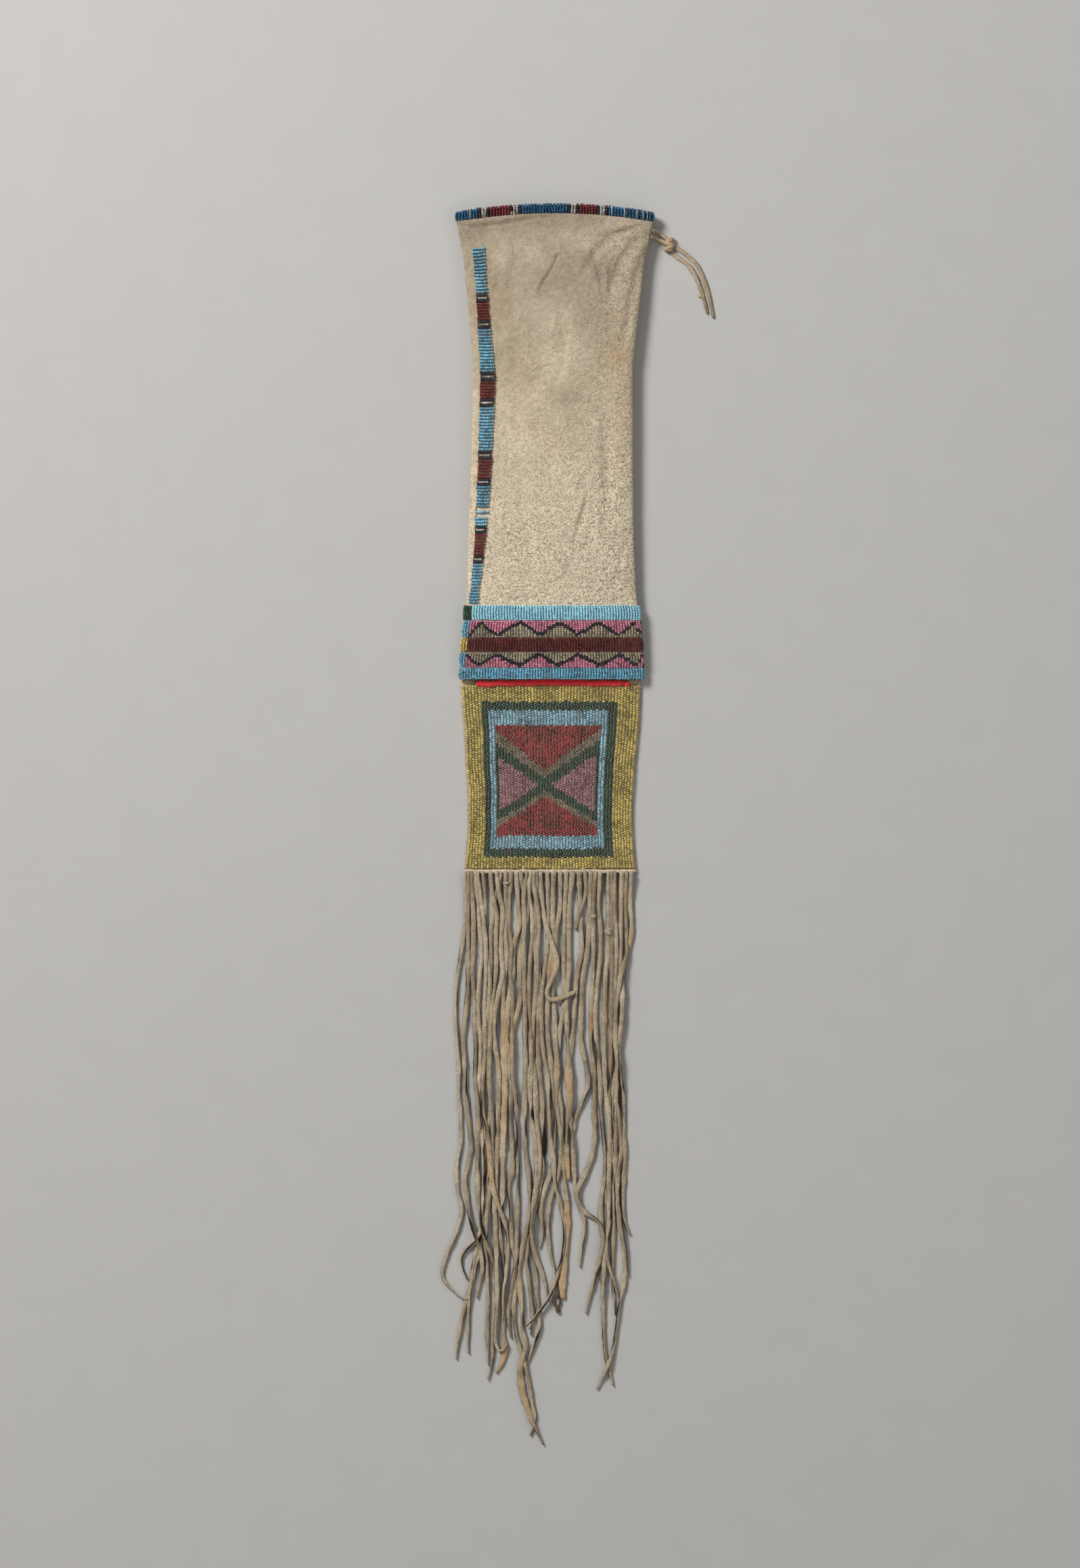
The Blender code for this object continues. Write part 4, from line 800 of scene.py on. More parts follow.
# The thongs' routes over the floor as the source has them, lowest first: across, and down from the header.
FRINGE_ROUTES = [
    [(42, 0), (42.5, 25.5), (42, 53), (42.5, 78), (42, 103), (41.5, 133), (41, 158), (43.5, 183),
     (42.5, 208), (39, 228), (39, 253), (38, 268), (35, 293), (34.5, 310.5)],
    [(-13, 0), (-14, 23), (-14.5, 53), (-11.5, 78), (-12, 98), (-12.5, 123), (-12, 140.5), (-10, 158),
     (-8.5, 183), (-8, 203), (-10.5, 225.5), (-14.5, 248), (-19, 268), (-20.5, 285.5), (-18.5, 305.5),
     (-16.5, 328), (-17.5, 340.5)],
    [(-40, 0), (-44.5, 20.5), (-47.5, 43), (-47.5, 68), (-49, 93), (-52, 113), (-53, 138), (-54, 163),
     (-51.5, 183), (-49, 203), (-49.5, 225.5), (-51.5, 245.5), (-54, 265.5), (-57, 284), (-61.5, 302),
     (-66.5, 319), (-70.5, 338), (-73, 358)],
    [(-53, 0), (-51.5, 23), (-52.5, 43), (-49, 63), (-48, 83), (-49.5, 103), (-50, 123), (-49.5, 148),
     (-48, 173), (-51, 193), (-52, 213), (-51.5, 233), (-52, 253), (-56, 270.5), (-60, 287),
     (-62.5, 305.5), (-64, 328), (-64, 354)],
    [(-59, 0), (-57, 18), (-55.5, 38), (-54, 58), (-56, 78), (-57, 103), (-55, 123), (-55.5, 148),
     (-57, 168), (-54.5, 188), (-53, 208), (-52.5, 225.5), (-53.5, 245.5), (-54.5, 262),
     (-58.5, 269.5), (-65, 276), (-69.5, 282), (-68.5, 291), (-65, 299)],
    [(-64, 0), (-64.5, 23), (-64, 43), (-64, 73), (-65, 93), (-67.5, 118), (-67, 135.5), (-66, 158),
     (-64, 178), (-62, 198), (-64, 214), (-66.5, 225.5), (-64.5, 240.5), (-62.5, 255.5), (-58.5, 268),
     (-55, 279), (-53.5, 290.5), (-55, 300.5), (-57.5, 313)],
    [(-47.5, 0), (-46, 15.5), (-43, 29), (-43.5, 45.5), (-43.5, 68), (-45, 85.5), (-47, 103),
     (-48, 123), (-48.5, 143), (-48, 163), (-46.5, 183), (-46, 203), (-47, 223), (-49, 240.5),
     (-51, 255.5), (-51.5, 270.5), (-50, 293), (-49.5, 318), (-50, 338), (-49.5, 362)],
    [(44.5, 0), (44, 23), (45.5, 43), (45.5, 68), (45, 88), (44.5, 108), (46, 133), (44, 153),
     (42.5, 173), (43, 193), (43.5, 213), (43, 233), (43.5, 258), (43, 283), (43, 303), (44.5, 325.5)],
    [(-15.5, 0), (-15.5, 8), (-13, 23), (-11.5, 40.5), (-13.5, 58), (-13.5, 78), (-15, 98),
     (-16.5, 118), (-16, 138), (-14.5, 155.5), (-14, 173), (-13, 190.5), (-11, 205.5), (-11.5, 223),
     (-15, 240.5), (-17, 260.5), (-16, 278), (-14, 298), (-12.5, 318), (-11.5, 334), (-15.5, 347),
     (-20.5, 362)],
    [(-25, 0), (-24, 8), (-21, 18), (-21.5, 35.5), (-25, 53), (-26, 73), (-25.5, 90.5), (-29, 107),
     (-31, 123), (-31.5, 143), (-32, 169)],
    [(-28.5, 0), (-27, 20.5), (-26, 37), (-30.5, 52), (-31, 73), (-34, 93), (-35.5, 110.5), (-34, 133),
     (-32.5, 158), (-33, 178), (-31.5, 203), (-31.5, 220.5), (-34, 230.5), (-32.5, 253), (-31.5, 273),
     (-29, 288), (-30, 305.5), (-30.5, 320.5), (-28, 342), (-23.5, 357), (-19.5, 373), (-17, 389),
     (-15, 403), (-18, 415)],
    [(-1, 0), (-1.5, 25.5), (-1.5, 48), (-4, 73), (-5.5, 103), (-5, 120.5), (-3, 138), (-1, 155.5),
     (0, 173), (0, 193), (-1.5, 213), (-5, 225.5), (-8.5, 235.5), (-10.5, 250.5), (-8.5, 264),
     (-11.5, 276)],
    [(8.5, 0), (7.5, 23), (7, 43), (6.5, 63), (7, 83), (6.5, 98), (4, 113), (2.5, 130.5), (2, 148),
     (4, 165.5), (5, 180.5), (5.5, 203), (7, 223), (9, 243), (9, 265.5), (7.5, 288), (5.5, 303),
     (6, 313.5)],
    [(26.5, 0), (26, 23), (25, 45.5), (23, 63), (20.5, 78), (19.5, 103), (19.5, 123), (23.5, 143),
     (24.5, 155.5), (20, 168), (15.5, 180.5), (13, 198)],
    [(33.5, 0), (32.5, 23), (34, 45.5), (33, 68), (30.5, 88), (30, 110.5), (32, 133), (33.5, 153),
     (34, 173), (35.5, 193), (37.5, 208), (36.5, 225.5), (34, 243), (34, 258), (36, 273), (36.5, 293),
     (35.5, 308), (36, 323), (36.5, 343), (38, 358), (41, 369), (43, 377.5)],
    [(56.5, 0), (56, 20.5), (57, 40.5), (54.5, 54), (51, 70.5), (50.5, 93), (48.5, 118), (47, 138),
     (45.5, 163), (45, 188), (44.5, 213), (46, 235.5), (47, 253), (49.5, 270.5), (52, 288), (51, 303),
     (47.5, 320.5), (45.5, 335.5), (43, 352), (38.5, 365), (31, 380.5)],
    [(18, 0), (18.5, 20.5), (19.5, 40.5), (20, 55.5), (16.5, 73), (15, 93), (13.5, 115.5), (11, 135.5),
     (10.5, 153), (11, 170.5), (12.5, 193), (14, 210.5), (15, 231.5), (18, 246), (22, 256),
     (20.5, 270.5), (18.5, 290)],
    [(-36.5, 0), (-36.5, 23), (-36.5, 43), (-35.5, 63), (-38, 83), (-37.5, 108), (-36.5, 125.5),
     (-37, 145.5), (-37, 165.5), (-38, 185.5), (-38.5, 208), (-38.5, 230.5), (-39.5, 248), (-40, 268),
     (-38, 290.5), (-37.5, 313), (-38, 335.5), (-37, 350.5), (-39, 360.5), (-43.5, 368.5)],
    [(-66.5, 0), (-66, 23), (-67, 42), (-70, 63), (-73, 83), (-73.5, 103), (-72.5, 120.5), (-71, 143),
     (-71, 163), (-69.5, 180.5), (-69.5, 198), (-72.5, 216.5), (-71.5, 235.5), (-68.5, 248),
     (-73, 265.5), (-79, 279), (-83.5, 294), (-82, 300), (-76.5, 306), (-71, 311.5), (-64.5, 314)],
    [(-32.5, 0), (-33.5, 23), (-34, 38), (-32, 53), (-33, 73), (-31.5, 88), (-31.5, 108), (-31.5, 133),
     (-31, 153), (-28.5, 170.5), (-27.5, 193), (-27.5, 223), (-27.5, 248), (-28, 265.5),
     (-28.5, 280.5), (-30.5, 295.5), (-32.5, 310.5), (-34.5, 325.5), (-32.5, 342.5)],
    [(-21, 0), (-23, 15.5), (-22.5, 33), (-23, 53), (-22.5, 83), (-22, 103), (-22, 123), (-21.5, 143),
     (-22.5, 163), (-22, 183), (-21.5, 203), (-19.5, 220.5), (-18.5, 235.5), (-19, 253), (-23, 270.5),
     (-26, 288), (-26, 305.5), (-24.5, 320.5), (-24, 335.5), (-21.5, 348), (-24.5, 359), (-25.5, 369),
     (-24, 383), (-20.5, 394), (-16.5, 405), (-12, 414), (-8.5, 421.5)],
    [(-18, 0), (-19.5, 13), (-17, 25.5), (-16.5, 43), (-18, 60.5), (-19, 78), (-19, 98), (-18, 118),
     (-17.5, 138), (-18.5, 155.5), (-17.5, 175.5), (-15, 195.5), (-13.5, 215.5), (-14.5, 235.5),
     (-17, 250.5), (-17.5, 264), (-15, 278), (-10.5, 292), (-7, 303), (-5.5, 314)],
    [(4, 0), (4, 23), (1.5, 39), (0, 55.5), (-1.5, 78), (-0.5, 98), (0.5, 118), (1.5, 135.5),
     (1.5, 153), (2, 173), (4.5, 193), (3, 220.5), (-3, 239), (-5, 258), (-3.5, 278), (0.5, 295.5)],
    [(13, 0), (11, 20.5), (10.5, 43), (10.5, 68), (8.5, 90.5), (9, 110.5), (10, 133), (10.5, 153),
     (11, 168), (9, 188), (9, 205.5), (10, 225.5)],
    [(39.5, 0), (39.5, 25.5), (39.5, 53), (37.5, 75.5), (36.5, 103), (36.5, 133), (37.5, 158),
     (40.5, 180.5), (40.5, 208), (40, 233), (40, 258), (38, 278), (41, 292), (44, 301.5),
     (45.5, 310.5)],
    [(30, 0), (28.5, 18), (28.5, 43), (28.5, 68), (27.5, 88), (26.5, 108), (27, 128), (29.5, 148),
     (29, 173), (29.5, 195.5), (26, 214), (19, 228), (16, 237), (21.5, 249), (33, 257), (35.5, 272),
     (32, 289), (27.5, 305.5), (23, 324.5)],
    [(49.5, 0), (49, 25.5), (49, 48), (49, 68), (50, 88), (49.5, 108), (47, 128), (48, 148),
     (50.5, 163), (50.5, 183), (52, 208), (50.5, 228), (50.5, 248), (52, 257), (55.5, 266)],
    [(53, 0), (52.5, 23), (53, 43), (53, 58), (49, 73), (47, 88), (45, 103), (45, 123), (46.5, 143),
     (47, 168), (48, 188), (49, 205.5), (46.5, 220.5), (47, 240.5), (49, 260.5), (52, 278), (54, 296)],
    [(-61.5, 0), (-60.5, 23), (-60, 38), (-60.5, 58), (-61, 73), (-59.5, 90.5), (-59, 108),
     (-58.5, 128), (-59, 148), (-57.5, 168), (-56.5, 188), (-57.5, 213), (-57, 235.5), (-55.5, 253),
     (-52.5, 267), (-47.5, 280.5), (-44.5, 298), (-43.5, 318), (-45.5, 335.5), (-46, 350.5),
     (-46.5, 362), (-49.5, 373.5)],
    [(-43, 0), (-41.5, 13), (-38.5, 27), (-39.5, 43), (-39.5, 60.5), (-38.5, 73), (-41.5, 87),
     (-44.5, 103), (-44.5, 123), (-42, 140.5), (-41, 158), (-42, 178), (-42.5, 203), (-43.5, 225.5),
     (-44.5, 248), (-43.5, 270.5), (-43, 293), (-42.5, 315.5), (-44, 335.5), (-43.5, 348),
     (-39.5, 353), (-35.5, 346)],
    [(-57, 0), (-54.5, 18), (-52, 38), (-51, 53), (-51, 78), (-52, 98), (-51.5, 118), (-52, 135.5),
     (-53.5, 153), (-53, 173), (-50, 190.5), (-48, 210.5), (-46, 230.5), (-41.5, 245.5), (-36.5, 259),
     (-34.5, 275.5), (-36, 293), (-38, 310.5), (-38.5, 329)],
    [(-5.5, 0), (-5, 23), (-5, 45.5), (-7, 65.5), (-9.5, 85.5), (-10, 108), (-9, 128), (-5.5, 148),
     (-4.5, 170.5), (-3.5, 193), (-1, 210.5), (0, 227), (4.5, 245.5), (7, 260.5), (6, 280.5), (1, 298),
     (-6.5, 316), (-21, 333.5)],
    [(22.5, 0), (23, 14), (19, 26), (15, 40)],
    [(-10.5, 0), (-9.5, 20.5), (-6.5, 37), (-1.5, 52), (1.5, 65.5), (-2, 76.5), (-6, 86), (-4, 92.5),
     (5, 90.5), (14.5, 86.5)],
]


def even_angles(place: Callable[[float], Array], count: int, shift: float = 0.0) -> Array:
    """Angles that part a closed line into even stretches.

    Args:
        place: The line's point at an angle.
        count: How many stretches.
        shift: The share of a stretch before the first angle.

    Returns:
        The angles.
    """
    fine = np.linspace(0, math.tau, 1441)
    run = runs(np.array([place(angle) for angle in fine]))
    return np.interp((np.arange(count) + shift) / count * run[-1], run, fine)


class PouchShape:
    """The pouch's flattened section along its length, as the source has it."""

    LENGTH = 342.0
    FLATNESS = 2.6
    LIFT = 2.5
    SHARES = (0.013, 0.088, 0.205, 0.322, 0.497, 0.673, 0.804, 0.877, 0.950, 1.0)
    SECTIONS = (
        (-73.0, 72.8, 12.0), (-68.0, 67.0, 13.5), (-63.5, 62.0, 14.0), (-60.5, 57.5, 14.0),
        (-61.5, 57.5, 13.5), (-63.5, 58.0, 12.5), (-65.0, 60.0, 11.5), (-66.0, 62.0, 10.5),
        (-68.5, 64.0, 8.5), (-69.5, 64.5, 6.0),
    )
    RISE = 6.5
    RISE_FADE = 60.0
    MOUTH = SHARES[0] * LENGTH
    DOWNS = np.multiply(SHARES, LENGTH)

    def section(self, down: float) -> tuple[float, float, float, float]:
        """The section's middle across, its half width, its half thickness and the height of its middle."""
        left, right, thick = (float(np.interp(down, self.DOWNS, side)) for side in zip(*self.SECTIONS))
        return (left + right) / 2, (right - left) / 2, thick / 2, self.LIFT + thick / 2

    def arch(self, across: float, down: float) -> float:
        """How the mouth's arch lifts the hide.

        Args:
            across: Where across the bag.
            down: How far down from the mouth.

        Returns:
            How much a point there lies nearer the mouth.
        """
        middle, half, _, _ = self.section(0.0)
        flank = min(1.0, abs(across - middle) / half)
        return self.RISE * (1 - flank**2) * max(0.0, 1 - down / self.RISE_FADE)

    def at(self, angle: float, down: float, out: float) -> Array:
        """The point round the pouch.

        Args:
            angle: 0 at its right edge, a quarter turn on its front.
            down: Distance down from the mouth.
            out: How far out of its surface.

        Returns:
            Across, minus down and up.
        """
        middle, half, tall, height = self.section(down)
        across = middle + (half + out) * bent(math.cos(angle), 2 / self.FLATNESS)
        up = height + (tall + out) * bent(math.sin(angle), 2 / self.FLATNESS)
        return np.array((across, -down + self.arch(across, down), up))

    def front_angle(self, across: float, down: float) -> float:
        """The angle at which the front has a place, given across and down."""
        middle, half, _, _ = self.section(down)
        return math.acos(bent(max(-1.0, min(1.0, (across - middle) / half)), self.FLATNESS / 2))

    def angles(self, down: float, count: int, out: float = 0.0) -> Array:
        """Angles that part the section's outline, this far out of its surface, into even stretches."""
        return even_angles(lambda angle: self.at(angle, down, out), count)

    def outline_length(self, down: float, out: float) -> float:
        """The length round the section at this distance out of it."""
        return runs(np.array([self.at(a, down, out) for a in np.linspace(0, math.tau, 361)]))[-1]


POUCH = PouchShape()


@dataclass
class BeadWork:
    """Barrel beads gathered into one piece, each a little different from the next."""

    name: str
    seed: int
    unevenness: float = 0.07
    tilt: float = 0.09
    sides: int = 8
    profile: tuple[tuple[float, float], ...] = ((-0.5, 0.36), (0.0, 0.5), (0.5, 0.36))
    stray: float = 0.04
    lift: float = 0.07
    strung: list = field(default_factory=list)

    def string(self, centre: Array, along: Array, outward: Array, size: Xyz, hue: Hue) -> None:
        """Put on a bead of this length, width and height; its thread runs along, outward is off the hide."""
        self.strung.append((*centre, *along, *outward, *size, list(Hue).index(hue)))

    def beads(self, table: Array, rng: Generator) -> Array:
        """The points of all beads.

        Args:
            table: A row for each bead.
            rng: Draws their differences.

        Returns:
            The points, by bead.
        """
        count = len(table)
        centre, along, outward, size = table[:, 0:3], unit(table[:, 3:6]), table[:, 6:9], table[:, 9:12]
        beside = unit(np.cross(outward, along))
        above = np.cross(along, beside)
        yaw = rng.normal(0, self.tilt, count)[:, None]
        along, beside = along * np.cos(yaw) + beside * np.sin(yaw), beside * np.cos(yaw) - along * np.sin(yaw)
        size = size * (1 + rng.normal(0, self.unevenness, (count, 3)))
        centre = centre + rng.normal(0, self.stray, (count, 3))
        centre = centre + above * rng.normal(0, self.lift, count)[:, None]
        turns = np.linspace(0, math.tau, self.sides, endpoint=False) + math.pi / self.sides
        x, radius = np.array(self.profile).T
        round_about = [np.outer(radius, wave).ravel() for wave in (np.cos(turns), np.sin(turns))]
        local = np.stack([np.repeat(x, self.sides), *round_about], axis=1)
        axes = np.stack([along * size[:, :1], beside * size[:, 1:2], above * size[:, 2:3]], axis=1)
        return centre[:, None] + np.einsum("pk,nkd->npd", local, axes)

    def piece(self, slot: str, node: str) -> None:
        """Make all the beads as one mesh.

        Args:
            slot: Its finish slot.
            node: The node it stands for.
        """
        table = np.array(self.strung, float)
        rng = default_rng(self.seed)
        points = self.beads(table, rng)
        count, per_bead = points.shape[:2]
        each = tube_faces(len(self.profile), self.sides)
        faces = [[number + per_bead * i for number in face] for i in range(count) for face in each]
        hues = table[:, 12].astype(int)
        used = sorted(set(hues))
        chosen = np.repeat([used.index(h) for h in hues], len(each))
        x, y, _ = points.mean(axis=1).T
        shade = np.clip(rng.normal(0.5, 0.26, count) + 0.4 * wander(x * 0.07, y * 0.07, 15.0), 0, 1)
        add_piece(
            self.name, slot, (points.reshape(-1, 3), faces), [bead_glass(list(Hue)[h]) for h in used], [node],
            chosen, {"shade": np.repeat(shade, per_bead)},
        )


@dataclass
class Rim:
    """The roll of beads wrapped round the mouth, on its core of hide."""

    pitch: float = 2.2
    bead_length: float = 1.07
    height: float = 7.5
    thickness: float = 5.0
    wall: float = 1.5
    stretches: tuple[tuple[float, Hue], ...] = (
        (-56.5, Hue.BLUE), (-54.7, Hue.NAVY), (-49.8, Hue.WHITE), (-47.5, Hue.NAVY), (-33.5, Hue.DARK_RED),
        (-32.0, Hue.NAVY), (-27.0, Hue.WHITE), (-25.5, Hue.NAVY), (9.2, Hue.BLUE), (11.0, Hue.NAVY),
        (15.8, Hue.WHITE), (18.0, Hue.NAVY), (31.6, Hue.DARK_RED), (33.5, Hue.NAVY), (38.0, Hue.WHITE),
        (40.2, Hue.NAVY), (999.0, Hue.BLUE),
    )
    bare_threads: Floats = (-63.0, 42.5, 52.0, 61.0, 65.5, 68.5)
    bead_height: float = 1.7
    shrink: float = 0.85
    from_turn: float = math.radians(-85)
    to_turn: float = math.radians(165)
    core_rings: int = 150
    core_sides: int = 10

    def place(self, angle: float, turn: float, shrink: float) -> Array:
        """A point on the roll.

        Args:
            angle: Round the mouth.
            turn: Round the roll, 0 outwards, a quarter turn towards the opening.
            shrink: How far inside the roll's surface.

        Returns:
            The point.
        """
        middle, half, tall, height = POUCH.section(POUCH.MOUTH)
        half, tall = half - self.wall / 2, tall - self.wall / 2
        c, s = math.cos(angle), math.sin(angle)
        power = 2 / POUCH.FLATNESS
        x, z = middle + half * bent(c, power), height + tall * bent(s, power)
        normal = np.array((bent(c, 2 - power) / half, bent(s, 2 - power) / tall))
        normal /= np.linalg.norm(normal)
        out = (self.thickness / 2 - shrink) * math.cos(turn)
        rise = (self.height / 2 - shrink) * math.sin(turn)
        roll_down = POUCH.MOUTH - CLEARANCE - self.height / 2
        across, up = x + normal[0] * out, z + normal[1] * out
        return np.array((across, -roll_down + POUCH.arch(x, POUCH.MOUTH) + rise, up))

    def angles(self, count: int) -> Array:
        """Angles that part the roll's middle line evenly."""
        return even_angles(lambda angle: self.place(angle, 0.0, self.thickness / 2), count, 0.5)

    def build(self) -> None:
        """Make the core, the beads and the bare threads."""
        fine = np.linspace(self.from_turn, self.to_turn, 200)
        wide, tall = self.thickness / 2 - self.shrink, self.height / 2 - self.shrink
        run = runs(np.column_stack([np.cos(fine) * wide, np.sin(fine) * tall]))
        per_wrap = int(run[-1] / self.bead_length)
        turns = np.interp((np.arange(per_wrap) + 0.5) / per_wrap * run[-1], run, fine)
        length = runs(np.array([self.place(a, 0.0, 1.2) for a in np.linspace(0, math.tau, 721)]))[-1]
        work = BeadWork("rim_beads", 11, tilt=0.06)
        rng = default_rng(5)
        for angle in self.angles(round(length / self.pitch)):
            lean = rng.normal(0, 0.003)
            size = (self.bead_length * 0.93, self.pitch * 0.93 * (1 + rng.normal(0, 0.04)), self.bead_height)
            loose = self.shrink - 0.35 * abs(rng.normal(0, 0.6))
            for turn in turns:
                centre = self.place(angle + lean * math.sin(turn), turn, loose)
                behind, ahead = (self.place(angle, turn + step, self.shrink) for step in (-0.05, 0.05))
                outward = self.place(angle, turn, 0.0) - self.place(angle, turn, 1.5)
                work.string(centre, ahead - behind, outward, size, self.hue(centre[0]))
        work.piece("rim_beads", "rim_beading")
        self.core()
        self.threads()

    def hue(self, across: float) -> Hue:
        """The colour of the wraps at this place."""
        return next(hue for end, hue in self.stretches if across < end)

    def core(self) -> None:
        """The rolled edge under the beads, its hide painted dark to stand for the shadow in the gaps between
        the wraps.
        """
        sides, last = self.core_sides, self.core_rings * self.core_sides
        turns = [math.tau * k / sides for k in range(sides)]
        rings = [[self.place(a, turn, 1.25) for turn in turns] for a in self.angles(self.core_rings)]
        faces = [[n % last for n in face] for face in tube_faces(self.core_rings + 1, sides)[:-2]]
        core = (np.array(rings).reshape(-1, 3), faces)
        add_piece("rim_core", "rim_beads", core, [CORE_PAINTED_SHADOW_SUEDE], numbers={"flecked": 0.8})

    def threads(self) -> None:
        """Bare stretches of thread over the roll."""
        lines = []
        for across in self.bare_threads:
            angle = POUCH.front_angle(across, POUCH.MOUTH)
            for shift in (0.0, 0.004):
                arc = np.linspace(math.radians(-80), math.radians(120), 16)
                angles = angle + shift * (1 + 0.6 * np.sin(arc))
                lines.append(np.array([self.place(a, turn, 0.1) for a, turn in zip(angles, arc)]))
        finish = Sinew("pale_rim_thread", linear(206, 194, 168))
        add_piece("rim_threads", "rim_beads", thread_mesh(lines, 0.3, 5), [finish])


@dataclass
class SideStrip:
    """Rows of beads across a narrow strip down the pouch."""

    name: str
    node: str
    slot: str
    half_turn: float
    inset: float
    beads_in_row: int
    row_pitch: float = 2.3
    top: float = POUCH.MOUTH + 20.0
    length: float = 261.554
    stations: Floats = (0.072, 0.175, 0.354, 0.550, 0.719, 0.836)
    edges: Points = (
        (-61.5, -51.0), (-58.5, -48.5), (-55.5, -43.0), (-57.5, -46.0), (-60.0, -50.7), (-63.8, -56.0),
    )
    parts: Floats = (33, 6.5, 13, 6.5, 32, 6.5, 13, 6, 32.5, 6.5, 14, 5, 30, 5.5, 16, 6, 29.5)
    pattern: tuple[Hue, ...] = (Hue.LIGHT_BLUE, Hue.WHITE, Hue.DARK_RED, Hue.WHITE)
    bare: Floats = (216.5, 221.5)
    bare_reach: float = 0.9
    bead_height: float = 1.75

    def rows(self) -> list[tuple[float, Hue, Hue]]:
        """The strip's rows, from its top.

        Returns:
            Each row's place down, its ends' colour and its middle's colour.
        """
        rows = []
        start = self.top
        for number, part in enumerate(self.parts):
            hue = self.pattern[number % len(self.pattern)]
            white = hue is Hue.WHITE
            height = part / sum(self.parts) * self.length
            count = max(3 if white else 1, round(height / self.row_pitch))
            for k in range(count):
                middle = Hue.NAVY if white and k in (0, count - 1) else hue
                rows.append((start + (k + 0.5) * height / count, Hue.NAVY if white else hue, middle))
            start += height
        return rows

    def build(self) -> None:
        """Make the strip's beads and the thread at its edge."""
        seed = 21 if self.half_turn else 20
        rng = default_rng(seed)
        work = BeadWork(self.name, seed, tilt=0.07)
        downs = [share * POUCH.LENGTH for share in self.stations]
        lefts, rights = zip(*self.edges)
        edge_line = []
        for down, ends, middle in self.rows():
            if not self.half_turn and any(abs(down - gap) < self.bare_reach for gap in self.bare):
                continue
            left, right = np.interp(down, downs, lefts), np.interp(down, downs, rights)
            left += self.inset + 0.5 * wander(down * 0.09, 3.0, seed) + rng.normal(0, 0.12)
            right += 0.5 * wander(down * 0.09, 9.0, seed) + rng.normal(0, 0.18)
            lean = rng.normal(0, 0.10) + 0.5 * wander(down * 0.05, 5.0, seed)
            count = self.beads_in_row - (rng.random() < 0.5)
            pitch = (right - left) / count
            stray = rng.uniform(-0.3, 0.3)
            for k in range(count):
                share = (k + 0.5 + stray * math.sin(math.pi * (k + 0.5) / count)) / count
                across = left + (right - left) * share
                here = down + lean * (share - 0.5) + 0.25 * math.sin(math.pi * share)
                turn = POUCH.front_angle(across, here) + self.half_turn
                out = CLEARANCE + 0.85 + 0.55 * math.sin(math.pi * share)
                centre = POUCH.at(turn, here, out)
                step = POUCH.at(POUCH.front_angle(across + 0.5, here) + self.half_turn, here, out) - centre
                outward = POUCH.at(turn, here, out + 1.0) - centre
                hue = ends if k in (0, count - 1) else middle
                work.string(centre, step, outward, (pitch, self.row_pitch * 0.80, self.bead_height), hue)
            turn = POUCH.front_angle(left - 0.3, down) + self.half_turn
            edge_line.append(POUCH.at(turn, down + 1.0, CLEARANCE + 0.25 + 0.3 * rng.random()))
        work.piece(self.slot, self.node)
        thread = thread_mesh([np.array(edge_line)], 0.32, 5)
        finish = Sinew("yellow_thread", linear(176, 150, 92))
        add_piece(f"{self.name}_thread", self.slot, thread, [finish])


class LanePattern(Enum):
    """What a lane's colours do."""

    PLAIN = "plain"
    STARTS_LOW = "starts low"
    STARTS_HIGH = "starts high"


@dataclass(frozen=True)
class LaneLook:
    """One lane's node, finish slot, height, colours from its top and the few odd beads at its left end."""

    node: str
    slot: str
    height: float
    pattern: LanePattern
    hues: tuple[Hue, ...]
    left_end: Hue
    left_end_width: float


